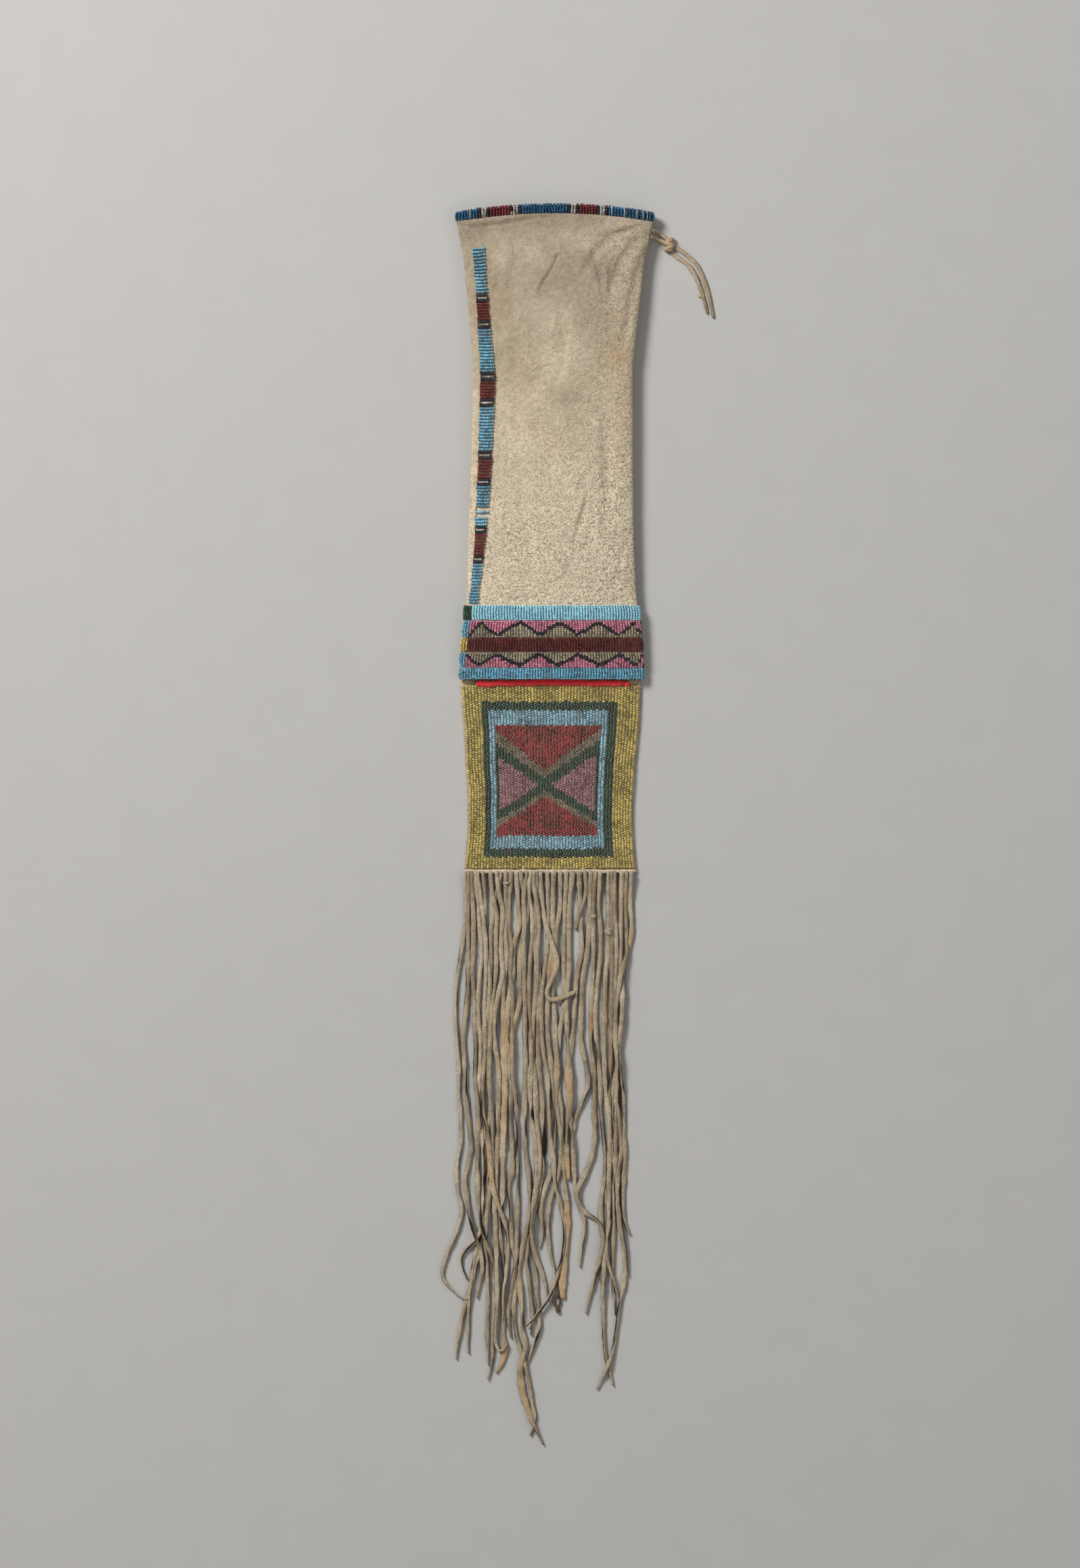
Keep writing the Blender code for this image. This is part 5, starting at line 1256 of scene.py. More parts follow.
@dataclass
class Band:
    """Five lanes of beads wrapped round the pouch."""

    pitch: float = 2.05
    beads_in_column: int = 9
    swell: float = 0.8
    zigzag: float = 2.6
    reach: float = 0.03
    back_points: int = 11
    turns: Floats = (-62.0, -54.5, -42.0, -25.0, -9.7, 2.0, 16.3, 31.5, 45.5, 58.0)
    bead_height: float = 1.7
    lanes: tuple[LaneLook, ...] = (
        # The top lane's beads are the lit copy of light blue: painted light.
        LaneLook("band_lane_1", "lane_light_blue", 11.0, LanePattern.PLAIN, (Hue.LIT_LIGHT_BLUE,), Hue.GREEN, 4.2),
        LaneLook(
            "band_lane_2", "lane_pink_over_grey", 12.3, LanePattern.STARTS_LOW,
            (Hue.PINK, Hue.NAVY, Hue.GREY), Hue.LIGHT_BLUE, 3.0,
        ),
        LaneLook("band_lane_3", "lane_maroon", 10.6, LanePattern.PLAIN, (Hue.MAROON,), Hue.MUSTARD, 2.6),
        LaneLook(
            "band_lane_4", "lane_grey_over_pink", 11.2, LanePattern.STARTS_HIGH,
            (Hue.GREY, Hue.NAVY, Hue.PINK), Hue.LIGHT_BLUE, 3.0,
        ),
        LaneLook(
            "band_lane_5", "lane_light_blue_lower", 8.2, LanePattern.PLAIN,
            (Hue.LIGHT_BLUE,), Hue.LIGHT_BLUE, 0.0,
        ),
    )

    def build(self) -> None:
        """Make the five lanes, one below the other."""
        top = POUCH.LENGTH - sum(lane.height for lane in self.lanes) - (len(self.lanes) - 1) * CLEARANCE
        middle = (top + POUCH.LENGTH) / 2
        corners = self.corner_angles(middle)
        for number, lane in enumerate(self.lanes):
            self.build_lane(lane, top, number, corners)
            top += lane.height + CLEARANCE

    def corner_angles(self, middle: float) -> list[float]:
        """The angles at which the zigzags turn.

        Args:
            middle: How far down the band's middle is.

        Returns:
            The angles, from 0 on.
        """
        front = [POUCH.front_angle(across, middle) for across in self.turns[::-1]]
        back = [math.pi * (1 + (k + 1) / (self.back_points + 1)) for k in range(self.back_points)]
        return [0.0, front[0] / 2] + front + [(front[-1] + math.pi) / 2, math.pi] + back

    def build_lane(self, lane: LaneLook, top: float, number: int, corners: list[float]) -> None:
        """Make one lane's beads.

        Args:
            lane: Its look.
            top: Where it starts, down the pouch.
            number: Its number from the top.
            corners: Where the zigzags turn.
        """
        down = top + lane.height / 2
        columns = round(POUCH.outline_length(down, CLEARANCE + 1.0) / self.pitch)
        low = self.reach + self.zigzag / 2 / lane.height
        starts_low = lane.pattern is LanePattern.STARTS_LOW
        shares = [low if (j % 2 == 0) == starts_low else 1 - low for j in range(len(corners))]
        work = BeadWork(lane.node + "_beads", 40 + number, tilt=0.08)
        rng = default_rng(60 + number)
        for angle in POUCH.angles(down, columns, CLEARANCE + 1.0):
            zig = float(np.interp(angle, corners + [math.tau], shares + shares[:1])) + rng.normal(0, 0.02)
            slant = rng.normal(0, 0.0015) + 0.006 * wander(angle * 4.0, number)
            count = self.beads_in_column + (rng.random() < 0.15)
            stretch = 1 + rng.normal(0, 0.008)
            sag = 0.45 * wander(angle * 2.0, number * 5.0)
            for k in range(count):
                share = 0.5 + ((k + 0.5) / count - 0.5) * 0.985 * stretch
                centre = self.place(angle + slant * (2 * share - 1), top, lane.height, share, sag)
                below, above = (self.place(angle, top, lane.height, share + s, sag) for s in (0.05, -0.05))
                middle = top + share * lane.height
                outward = POUCH.at(angle, middle, 3.0) - POUCH.at(angle, middle, 1.0)
                hue = self.hue(lane, share, zig, centre)
                size = (lane.height / count * 0.94, self.pitch * 0.93, self.bead_height)
                work.string(centre, below - above, outward, size, hue)
        work.piece(lane.slot, lane.node)

    def place(self, angle: float, top: float, height: float, share: float, sag: float) -> Array:
        """A place round the pouch in a lane, a share of its height down, where its line sags."""
        out = CLEARANCE + 1.35 - self.swell * (2 * share - 1) ** 2
        return POUCH.at(angle, top + share * height + sag, out)

    def hue(self, lane: LaneLook, share: float, zig: float, centre: Array) -> Hue:
        """The colour of one bead of a lane.

        Args:
            lane: The lane's look.
            share: How far down the lane the bead is.
            zig: How far down the lane the zigzag's middle is.
            centre: The bead's place.

        Returns:
            Its colour.
        """
        edge = POUCH.section(-centre[1])[0] - POUCH.section(-centre[1])[1]
        if centre[2] > POUCH.LIFT + 3.0 and centre[0] < edge + lane.left_end_width:
            return lane.left_end
        if lane.pattern is LanePattern.PLAIN:
            return lane.hues[0]
        half = self.zigzag / 2 / lane.height
        return lane.hues[0 if share < zig - half else 1 if share < zig + half else 2]


@dataclass
class Panel:
    """The flat woven panel: its hide, its columns of beads and the threads between them."""

    top: float = 346.7
    length: float = 135.5
    lift: float = 1.8
    columns: int = 57
    rows: int = 78
    hide_thickness: float = 1.5
    shares: Floats = (0.0, 0.27, 0.57, 0.78, 1.0)
    edges: Points = ((-69.0, 63.2), (-66.5, 61.0), (-64.0, 56.8), (-63.6, 56.6), (-66.0, 59.2))
    frames: tuple[tuple[str, str, Hue], ...] = (
        ("panel_yellow_border", "mustard_beads", Hue.MUSTARD),
        ("panel_green_frame", "green_frame_beads", Hue.GREEN),
        ("panel_blue_frame", "pale_blue_frame_beads", Hue.PALE_BLUE),
    )
    widths: tuple[Floats, ...] = ((6, 7, 11.8, 8.5), (2, 3, 6.4, 6.0), (2, 2, 11.3, 9.8))
    fields: tuple[tuple[str, str, Hue], ...] = (
        ("panel_red_upper", "red_upper_beads", Hue.RED),
        ("panel_grey_upper", "grey_upper_beads", Hue.TAUPE),
        ("panel_green_cross", "green_cross_beads", Hue.GREEN),
        ("panel_grey_lower", "grey_lower_beads", Hue.TAUPE),
        ("panel_red_lower", "red_lower_beads", Hue.RED),
        ("panel_pink_left", "dusty_pink_left_beads", Hue.DUSTY_PINK),
        ("panel_pink_right", "dusty_pink_right_beads", Hue.DUSTY_PINK),
    )
    left_marks: Floats = (0.043, 0.165, 0.275, 0.789, 0.863, 0.930)
    right_marks: Floats = (0.031, 0.135, 0.245, 0.793, 0.869, 0.930)
    middle_marks: Floats = (0.400, 0.477, 0.535, 0.535, 0.594, 0.641)
    waists: Floats = (0.0, 0.0, 4.8, 4.8, 0.0, 0.0)
    middle_across: float = -7.6
    odd_beads: Xyz = (-22.5, 401.5, 1.6)
    bead_height: float = 1.9
    hide_margin: float = 1.0
    hide_rows: int = 90
    hide_columns: int = 56

    def side(self, down: float, right: bool) -> float:
        """Where the beadwork's left or right side lies."""
        lefts, rights = zip(*self.edges)
        return float(np.interp((down - self.top) / self.length, self.shares, rights if right else lefts))

    def zone(self, column: float, down: float) -> tuple[str, str, Hue]:
        """The node, finish slot and colour at a place on the panel, before the weave's waviness.

        Args:
            column: Which column from the left, with parts of one.
            down: Where it is down the bag.

        Returns:
            The three.
        """
        left, right = column, self.columns - column
        above, below = down - self.top, self.top + self.length - down
        inside = np.zeros(4)
        for look, widths in zip(self.frames, self.widths):
            inside += widths
            if left < inside[0] or right < inside[1] or above < inside[2] or below < inside[3]:
                return look
        share = (above - inside[2]) / (self.length - inside[2] - inside[3])
        first, last = self.side(down, False), self.side(down, True)
        pitch = (last - first) / self.columns
        across = first + pitch * column
        low, high = first + pitch * inside[0], last - pitch * inside[1]
        shift = across - self.middle_across
        bounds = []
        for first_mark, middle, last_mark, waist in zip(
            self.left_marks, self.middle_marks, self.right_marks, self.waists,
        ):
            places = (low, self.middle_across - waist, self.middle_across + waist, high)
            bounds.append(np.interp(across, places, (first_mark, middle, middle, last_mark)))
        if share < bounds[1]:
            return self.fields[0 if share < bounds[0] else 1]
        if share > bounds[4]:
            return self.fields[4 if share > bounds[5] else 3]
        beside = left - inside[0] < 1 or right - inside[1] < 1
        if bounds[2] < share < bounds[3] and not beside and abs(shift) > self.waists[2]:
            return self.fields[5 if shift < 0 else 6]
        return self.fields[2]

    def at(self, column: float, down: float) -> Array:
        """A place on the weave.

        Args:
            column: Which column from the left, with parts of one.
            down: How far down the bag.

        Returns:
            Across, minus down and height of the weave's middle.
        """
        left, right = self.side(down, False), self.side(down, True)
        across = left + (right - left) * column / self.columns
        across += 0.75 * wander(down * 0.030, column * 0.05, 2.0)
        across += 0.25 * wander(down * 0.16, column * 0.2, 4.0)
        moved = down + 0.9 * wander(across * 0.035, down * 0.02, 8.0)
        moved += 0.3 * wander(across * 0.2, down * 0.1, 1.0)
        up = self.lift + 1.05 + 0.3 * wander(across * 0.06, down * 0.05, 12.0)
        return np.array((across, -moved, up))

    def build(self) -> None:
        """Make the beads, the threads and the hide below."""
        works: dict[str, BeadWork] = {}
        rng = default_rng(77)
        pitch = self.length / self.rows
        for column in range(self.columns):
            offset = 0.5 if column % 2 else 0.0
            drift = rng.normal(0, 0.12)
            for row in range(self.rows):
                down = self.top + pitch * (row + 0.25 + offset + drift * 0.5)
                down = min(max(down, self.top + pitch / 2), self.top + self.length - pitch / 2)
                centre = self.at(column + 0.5, down)
                below = self.at(column + 0.5, down + 0.8)
                node, slot, hue = self.zone(column + 0.5, down)
                across, odd_down, reach = self.odd_beads
                if node == "panel_red_upper" and math.hypot(centre[0] - across, centre[1] + odd_down) < reach:
                    hue = Hue.PALE_BLUE
                works.setdefault(node, BeadWork(node + "_beads", 90 + len(works), tilt=0.10))
                width = (self.side(down, True) - self.side(down, False)) / self.columns
                size = (pitch * 0.93, width * 0.90, self.bead_height)
                works[node].string(centre, below - centre, UPWARD, size, hue)
        slots = {node: slot for node, slot, _ in self.frames + self.fields}
        for node, work in works.items():
            work.piece(slots[node], node)
        self.threads(pitch)
        self.hide()

    def threads(self, pitch: float) -> None:
        """The threads between the columns, which step from bead to bead.

        Args:
            pitch: How far apart the rows are.
        """
        lines = []
        for column in range(self.columns + 1):
            line = []
            for row in range(self.rows + 1):
                down = self.top + pitch * row
                step = 0.17 if row % 2 else -0.17
                point = self.at(column + step, down)
                point[2] += 0.38 + 0.3 * wander(column * 3.7, row * 0.9)
                line.append(point)
            lines.append(np.array(line))
        finish = Sinew("panel_thread", linear(208, 196, 170))
        add_piece("panel_threads", "panel_backing_hide", thread_mesh(lines, 0.15, 4), [finish])

    def hide(self) -> None:
        """The hide under the weave, a little wider and ragged at its sides."""
        high, low = POUCH.LENGTH + CLEARANCE, self.top + self.length + CLEARANCE
        rows = []
        for down in np.linspace(high, low, self.hide_rows):
            left = self.side(down, False) - self.hide_margin + 0.35 * wander(down * 0.11, 2.0)
            right = self.side(down, True) + self.hide_margin + 0.35 * wander(down * 0.11, 7.0)
            rows.append([(across, -down) for across in np.linspace(left, right, self.hide_columns)])
        flat = np.array(rows)
        wave = 0.12 * wander(flat[..., 0] * 0.15, flat[..., 1] * 0.15)
        over = np.dstack([flat, self.hide_thickness + wave])
        under = np.dstack([flat, np.full(flat.shape[:2], 0.02)])
        rings = np.concatenate([over, under[:, ::-1]], axis=1)
        hide = (rings.reshape(-1, 3), tube_faces(len(rings), rings.shape[1]))
        numbers = {"flecked": 0.7, "tan": 0.15}
        add_piece("panel_backing", "panel_backing_hide", hide, [POUCH_SUEDE], ["panel_hide"], numbers=numbers)


@dataclass(frozen=True)
class Crease:
    """A valley or fold along a line on the hide's front: across and down, width and depth, the height of the
    ridge beside it as a share of the depth, and how much painted shade darkens its valley.
    """

    points: Points
    width: float
    depth: float
    shoulder: float = 0.35
    dark: float = 0.0

    def push(self, places: Array) -> tuple[Array, Array]:
        """What the crease does to the hide, less and less towards its line's ends.

        Args:
            places: Rows of across and down.

        Returns:
            How far each place moves out, and how much painted shade darkens the crease there.
        """
        best, along = np.full(len(places), 1e9), np.zeros(len(places))
        line = smooth_course(self.points, 4)
        for number, (a, b) in enumerate(zip(line, line[1:])):
            way = b - a
            share = np.clip((places - a) @ way / max(1e-9, way @ way), 0, 1)
            away = np.linalg.norm(places - a - share[:, None] * way, axis=1)
            along = np.where(away < best, (number + share) / (len(line) - 1), along)
            best = np.minimum(best, away)
        strength = np.sin(math.pi * along) ** 0.8
        away = best / (self.width * (1 + 0.5 * wander(*places.T * 0.06)))
        valley = np.exp(-(away**2)) * strength
        ridge = np.exp(-((away - 1.7) ** 2) * 1.2) * strength
        # The second number is painted shade, strongest in the valley.
        return 1.2 * self.depth * (self.shoulder * ridge - valley), 1.6 * self.dark * valley


@dataclass(frozen=True)
class Stain:
    """A soft patch on the hide: where, how big, which tone and how strong."""

    across: float
    down: float
    wide: float
    tall: float
    tone: str
    strength: float

    def share(self, places: Array) -> Array:
        """How strong the stain is.

        Args:
            places: Rows of across and down.

        Returns:
            Its strength at each of them.
        """
        across, down = places.T
        x, y = (across - self.across) / self.wide, (down - self.down) / self.tall
        ragged = wander(across * 0.08, down * 0.05, self.across)
        return self.strength * np.clip(np.exp(-(x**2 + y**2)) * (1 + 0.9 * ragged), 0, 1)


@dataclass
class HidePouch:
    """The suede tube: outer skin with its folds and stains, the mouth's edge and the inside."""

    around: int = 220
    row_step: float = 1.6
    wall: float = 1.5
    # The last number of each crease is the painted shade in its valley; the last four are tiny dents darkened
    # with painted shade as small holes.
    creases: tuple[Crease, ...] = (
        Crease(((39.5, 140), (39.0, 170), (39.8, 205), (38.5, 240)), 5.0, 1.3, 0.3, 0.02),
        Crease(((25, 203), (20, 222), (13, 245)), 2.2, 0.9, 0.5, 0.05),
        Crease(((8, 146), (12, 156), (20, 165)), 1.8, 0.5, 0.5, 0.06),
        Crease(((14, 143), (19, 152), (25, 156)), 1.6, 0.45, 0.5, 0.06),
        Crease(((10, 164), (16, 172), (23, 176)), 1.5, 0.35, 0.5, 0.04),
        Crease(((-40, 163), (-40.6, 172), (-39.6, 182)), 1.3, 0.35, 0.5, 0.05),
        Crease(((-34, 166), (-34.5, 175), (-33.6, 186)), 1.2, 0.3, 0.5, 0.05),
        Crease(
            ((-78, 5), (-70, 6.5), (-59.5, 9.4), (-42, 9.2), (-24, 7.8), (-6, 5.6), (6, 4.6)),
            1.3, 1.3, 0.7, 0.3,
        ),
        Crease(((70, 12), (55, 27), (44, 46), (39, 66)), 3.4, 1.0, 0.5, 0.03),
        Crease(((66, 9), (48, 16), (30, 30), (20, 48)), 3.0, 0.9, 0.5, 0.03),
        Crease(((71, 18), (62, 44), (54, 76), (50, 100)), 3.2, 0.8, 0.5, 0.02),
        Crease(((-13, 58), (-9, 50), (-3, 41), (3, 31)), 1.1, 0.5, 0.4, 0.45),
        Crease(((26.5, 29), (32, 46), (35, 66)), 1.2, 0.4, 0.4, 0.25),
        Crease(((45, 29), (39.5, 43), (42, 60)), 1.2, 0.4, 0.4, 0.25),
        Crease(((-28, 119), (-15, 112), (5, 109)), 0.9, -0.3, 0.4, 0.0),
        Crease(((-20, 126), (-8, 128), (8, 122)), 0.9, -0.25, 0.4, 0.0),
        Crease(((70, 8), (56, 12), (42, 17), (30, 18)), 1.6, 0.8, 0.6, 0.1),
        Crease(((-30, 20), (-33, 60), (-29, 100), (-31, 140)), 4.0, 0.5, 0.4, 0.0),
        Crease(((4, 60), (8, 95), (2, 130)), 4.5, 0.5, 0.4, 0.0),
        Crease(((-20, 180), (-24, 215), (-18, 250), (-21, 284)), 4.5, 0.6, 0.4, 0.0),
        Crease(((50, 250), (45, 268), (36, 283)), 2.6, 0.6, 0.4, 0.02),
        Crease(((-46, 232), (-36, 236), (-24, 232)), 1.3, 0.3, 0.4, 0.04),
        Crease(((12, 262), (2, 270), (-12, 272)), 1.4, 0.35, 0.4, 0.04),
        Crease(((22, 94), (30, 100), (41, 101)), 1.2, 0.3, 0.4, 0.04),
        Crease(((-28, 118), (-20, 122), (-10, 119)), 1.2, 0.28, 0.4, 0.04),
        Crease(((0.4, 31.6), (0.8, 33.6)), 0.9, 0.4, 0.3, 0.6),
        Crease(((-8.8, 47.0), (-8.2, 49.0)), 0.9, 0.4, 0.3, 0.6),
        Crease(((-1.2, 96.8), (-0.6, 98.8)), 0.9, 0.4, 0.3, 0.6),
        Crease(((-7.4, 123.4), (-6.6, 125.4)), 0.9, 0.4, 0.3, 0.6),
    )
    stains: tuple[Stain, ...] = (
        Stain(45, 85, 11, 26, "tan", 0.55), Stain(50, 165, 10, 42, "tan", 0.75),
        Stain(46, 235, 12, 34, "tan", 0.6), Stain(30, 280, 26, 10, "tan", 0.35),
        Stain(-38, 60, 10, 30, "tan", 0.22), Stain(60, 20, 14, 12, "tan", 0.35),
        Stain(49, 106, 8, 12, "tan", 0.85), Stain(42, 44, 9, 7, "grey", 0.55),
        Stain(10, 134, 8, 7, "grey", 0.5), Stain(-20, 250, 26, 20, "grey", 0.28),
        Stain(20, 215, 20, 26, "grey", 0.25), Stain(-60, 12, 10, 8, "grey", 0.4),
        Stain(0, 90, 20, 26, "pale", 0.5), Stain(-25, 30, 26, 14, "pale", 0.55),
        Stain(20, 22, 18, 9, "pale", 0.5), Stain(-20, 150, 18, 30, "pale", 0.4),
        Stain(8, 190, 14, 22, "pale", 0.35), Stain(30, 250, 14, 14, "pale", 0.3),
        Stain(-34, 214, 9, 16, "pale", 0.3),
    )
    inside: dict[str, float] = field(default_factory=lambda: {"tan": 0.15, "grey": 0.2, "flecked": 0.6})

    def build(self) -> BVHTree:
        """Make the pouch.

        Returns:
            Its skin, to lay small things on.
        """
        downs = np.append(np.arange(POUCH.MOUTH, POUCH.LENGTH, self.row_step), POUCH.LENGTH)
        angles = POUCH.angles(170.0, self.around)
        outer = self.rings(downs, angles, 0.0)
        outward = self.rings(downs, angles, 1.0) - outer
        outward /= np.linalg.norm(outward, axis=2)[..., None]
        places = np.column_stack([outer[..., 0].ravel(), np.repeat(downs, self.around)])
        front = smoothstep(-0.15, 0.25, np.sin(angles))[None, :].repeat(len(downs), 0).ravel()
        push, dark = self.relief(outer, places, front)
        outer = outer + outward * push.reshape(outer.shape[:2])[..., None]
        last = POUCH.LENGTH - self.wall
        inner_downs = np.concatenate([downs[:1], np.arange(12.0, last, 12.0), [last]])
        inner = self.rings(inner_downs, angles, -self.wall)
        lip = self.rings(downs[:1], angles, -self.wall / 2)
        lip[..., 1] += 0.5
        rings = np.concatenate([inner[::-1], lip, outer])
        points, faces = rings.reshape(-1, 3), tube_faces(len(rings), self.around)
        numbers = self.numbers(places, front, dark, len(points) - len(places))
        add_piece("pouch_skin", "pouch_hide", (points, faces), [POUCH_SUEDE], ["hide_pouch"], numbers=numbers)
        return BVHTree.FromPolygons(points.tolist(), faces)

    def rings(self, downs: Array, angles: Array, out: float) -> Array:
        """Rings of points round the tube, this far out of its surface."""
        return np.array([[POUCH.at(a, d, out) for a in angles] for d in downs])

    def relief(self, outer: Array, places: Array, front: Array) -> tuple[Array, Array]:
        """The skin's creases and its unevenness.

        Args:
            outer: The smooth tube's points, by ring.
            places: Where they are across and down.
            front: How much each faces the front.

        Returns:
            How far each point moves out, and how much painted shade darkens its crease.
        """
        push, dark = np.zeros(len(places)), np.zeros(len(places))
        for crease in self.creases:
            moved, shade = crease.push(places)
            push += moved * front
            dark += shade * front
        x, y, z = outer.reshape(-1, 3).T
        push += 0.5 * wander(x * 0.03, y * 0.02, z * 0.1) + 0.16 * wander(x * 0.12, y * 0.09, z * 0.2)
        down = places[:, 1]
        bare = smoothstep(POUCH.MOUTH, POUCH.MOUTH + 2.5, down) * smoothstep(284.0, 278.0, down)
        push *= 0.25 + 0.75 * bare
        return np.where(push > 0.2, 0.2 + 0.6 * (push - 0.2), push), dark

    def numbers(self, places: Array, front: Array, dark: Array, skip: int) -> dict[str, Array]:
        """The numbers that the suede reads at each point.

        Args:
            places: Where the outer points are across and down.
            front: How much each faces the front.
            dark: How much painted shade darkens each one's crease.
            skip: How many inner points come before them.

        Returns:
            The numbers by name.
        """
        across, down = places.T
        tones = {tone: np.zeros(len(places)) for tone in ("tan", "grey", "pale")}
        for stain in self.stains:
            tones[stain.tone] += stain.share(places) * front
        tones["pale"] += 1.25 * smoothstep(110.0, 270.0, down)
        tones["pale"] += 0.5 * smoothstep(20.0, 50.0, across)
        # Greyer and darker towards the mouth, for the darker top where less light falls: painted shade.
        tones["grey"] += 1.05 * smoothstep(150.0, 10.0, down)
        crowd = 0.26 + 0.45 * smoothstep(130.0, 270.0, down) + 0.35 * smoothstep(0.0, 50.0, across)
        # The crease number carries the creases' painted shade.
        outside = {**tones, "flecked": np.clip(crowd, 0, 1.2), "crease": np.clip(dark, 0, 0.6)}
        return {
            name: np.concatenate([np.full(skip, self.inside.get(name, 0.0)), values])
            for name, values in outside.items()
        }


@dataclass
class Oddments:
    """The smallest things on the skin: rows of tiny stitches, raised veins and stray hairs."""

    skin: BVHTree
    rows: tuple[tuple[float, float, float, int], ...] = ((-48.0, -24.0, 49.0, 7), (-40.0, -19.0, 101.0, 6))
    veins: tuple[Points, ...] = (
        ((-27.5, 118), (-21, 118), (-16.5, 114.5), (-12, 111), (-5, 109), (2, 108.6), (7, 109.7)),
        ((-15, 113.5), (-12, 118), (-9, 122.5), (-7, 125), (-2, 126.3), (3.8, 127)),
        ((8.4, 95), (13.3, 89.3), (21, 86.5), (29.6, 84.3)),
        ((10.5, 101), (17.6, 97.8), (22.6, 95.2), (26, 96), (28.2, 100)),
    )
    hairs: int = 44
    rng: Generator = field(default_factory=lambda: default_rng(31))

    def build(self) -> None:
        """Make all three."""
        self.stitch()
        self.lay_veins()
        self.grow_hairs()

    def stitch(self) -> None:
        """Put the stitches in their rows."""
        dots = []
        for left, right, down, count in self.rows:
            for across in np.linspace(left, right, count) + self.rng.normal(0, 0.4, count):
                point = self.lie(across, down + self.rng.normal(0, 0.4), 0.1)
                dots.append(point + [(-0.5, 0.0, -0.1), (0.0, 0.1, 0.1), (0.5, 0.0, -0.1)])
        finish = Sinew("pale_thread", linear(230, 218, 194))
        add_piece("hide_stitches", "pouch_hide", thread_mesh(dots, 0.32, 6), [finish])

    def lay_veins(self) -> None:
        """Lay the veins, sunk deeper towards their ends."""
        veins = []
        for vein in self.veins:
            line = evenly(smooth_course(vein), 0.8)
            sunk = 0.22 + 0.35 * (1 - np.sin(np.linspace(0, math.pi, len(line)))) ** 2
            veins.append(np.array([self.lie(x, y, -low) for (x, y), low in zip(line, sunk)]))
        add_piece("hide_veins", "pouch_hide", thread_mesh(veins, 0.45, 8), [POUCH_SUEDE])

    def grow_hairs(self) -> None:
        """Stand the hairs on the pouch's two sides."""
        hairs = []
        for _ in range(self.hairs):
            down = self.rng.uniform(20, 280)
            angle = self.rng.choice((0.0, math.pi)) + self.rng.normal(0, 0.25)
            start, ahead = POUCH.at(angle, down, 0.0), POUCH.at(angle, down, 1.0)
            length = self.rng.uniform(0.8, 2.6)
            steps = np.linspace(0, 1, 6)[:, None]
            bend = np.column_stack([np.zeros(6), self.rng.normal(0, 1.0) * steps[:, 0] ** 2, np.zeros(6)])
            hairs.append(start + (ahead - start) * steps * length + bend)
        finish = Sinew("hair", linear(164, 144, 114))
        add_piece("hide_hairs", "pouch_hide", thread_mesh(hairs, 0.07), [finish])

    def lie(self, across: float, down: float, out: float) -> Array:
        """A place this far above the pouch's front, as across, minus down and up."""
        place = self.skin.ray_cast(Vector((across, -down, 60.0)), Vector((0.0, 0.0, -1.0)))[0]
        return np.array(place) + (0.0, 0.0, out)


@dataclass
class Piping:
    """Red wool yarn over the seam, with loose fibres."""

    left: float = -58.5
    right: float = 56.0
    radius: float = 2.3
    wave: float = 0.5
    sides: int = 16
    solid_radius: float = 1.8
    gap: float = 0.25
    pinched_at: float = 51.0
    fibre_count: int = 150

    def line(self) -> Array:
        """The yarn's middle line.

        Returns:
            Its points.
        """
        down = POUCH.LENGTH + CLEARANCE + self.solid_radius + self.gap
        across = np.arange(self.left, self.right, 0.5)
        wavy = self.wave * wander(across * 0.055, 4.0) + 0.25 * np.sin(across * 0.42)
        bend = 1.2 * (1 - (across / 60.0) ** 2) - 1.2
        return np.column_stack([across, -down + wavy + bend, np.full(len(across), 2 * self.solid_radius)])

    def build(self) -> None:
        """Make the yarn and its fibres."""
        line = self.line()
        turns = np.linspace(0, math.tau, self.sides, endpoint=False)
        rings = []
        for i, (x, y, z) in enumerate(line):
            ends = min(1.0, (i + 1) / 4, (len(line) - i) / 4)
            pinch = 1 - 0.45 * math.exp(-(((x - self.pinched_at) / 1.6) ** 2))
            ply = 1 + 0.10 * np.cos(2 * (turns - x * 0.55)) + 0.05 * np.cos(5 * turns + x * 1.7)
            rough = 1 + 0.10 * wander(x * 0.6, 3 * np.cos(turns), 3 * np.sin(turns))
            radius = self.radius * ply * rough * pinch * (0.35 + 0.65 * ends)
            ring = [np.full(self.sides, x), y + radius * np.cos(turns), z + 0.85 * radius * np.sin(turns)]
            rings.append(np.column_stack(ring))
        yarn = (np.concatenate(rings), tube_faces(len(line), self.sides))
        add_piece("wool_piping", "red_wool", yarn, [YARN], ["red_wool_piping"])
        self.fibres(line)

    def fibres(self, line: Array) -> None:
        """Loose fibres that stand off the yarn.

        Args:
            line: The yarn's middle line.
        """
        rng = default_rng(8)
        lines = []
        for _ in range(self.fibre_count):
            x, y, z = line[rng.integers(4, len(line) - 4)]
            turn = rng.uniform(-0.3, math.pi + 0.3)
            c, s = math.cos(turn), math.sin(turn)
            lean = np.array((rng.normal(0, 1.6), 0.9 * c + rng.normal(0, 0.3), 0.25 + 0.5 * s))
            steps = np.linspace(0, 1, 6)[:, None]
            curl = np.column_stack([np.zeros(6), np.sin(steps[:, 0] * 3) * rng.normal(0, 0.5), np.zeros(6)])
            lines.append(np.array((x, y + 1.7 * c, z + 1.5 * s)) + lean * steps + curl)
        add_piece("wool_fibres", "red_wool", thread_mesh(lines, 0.09), [YARN])


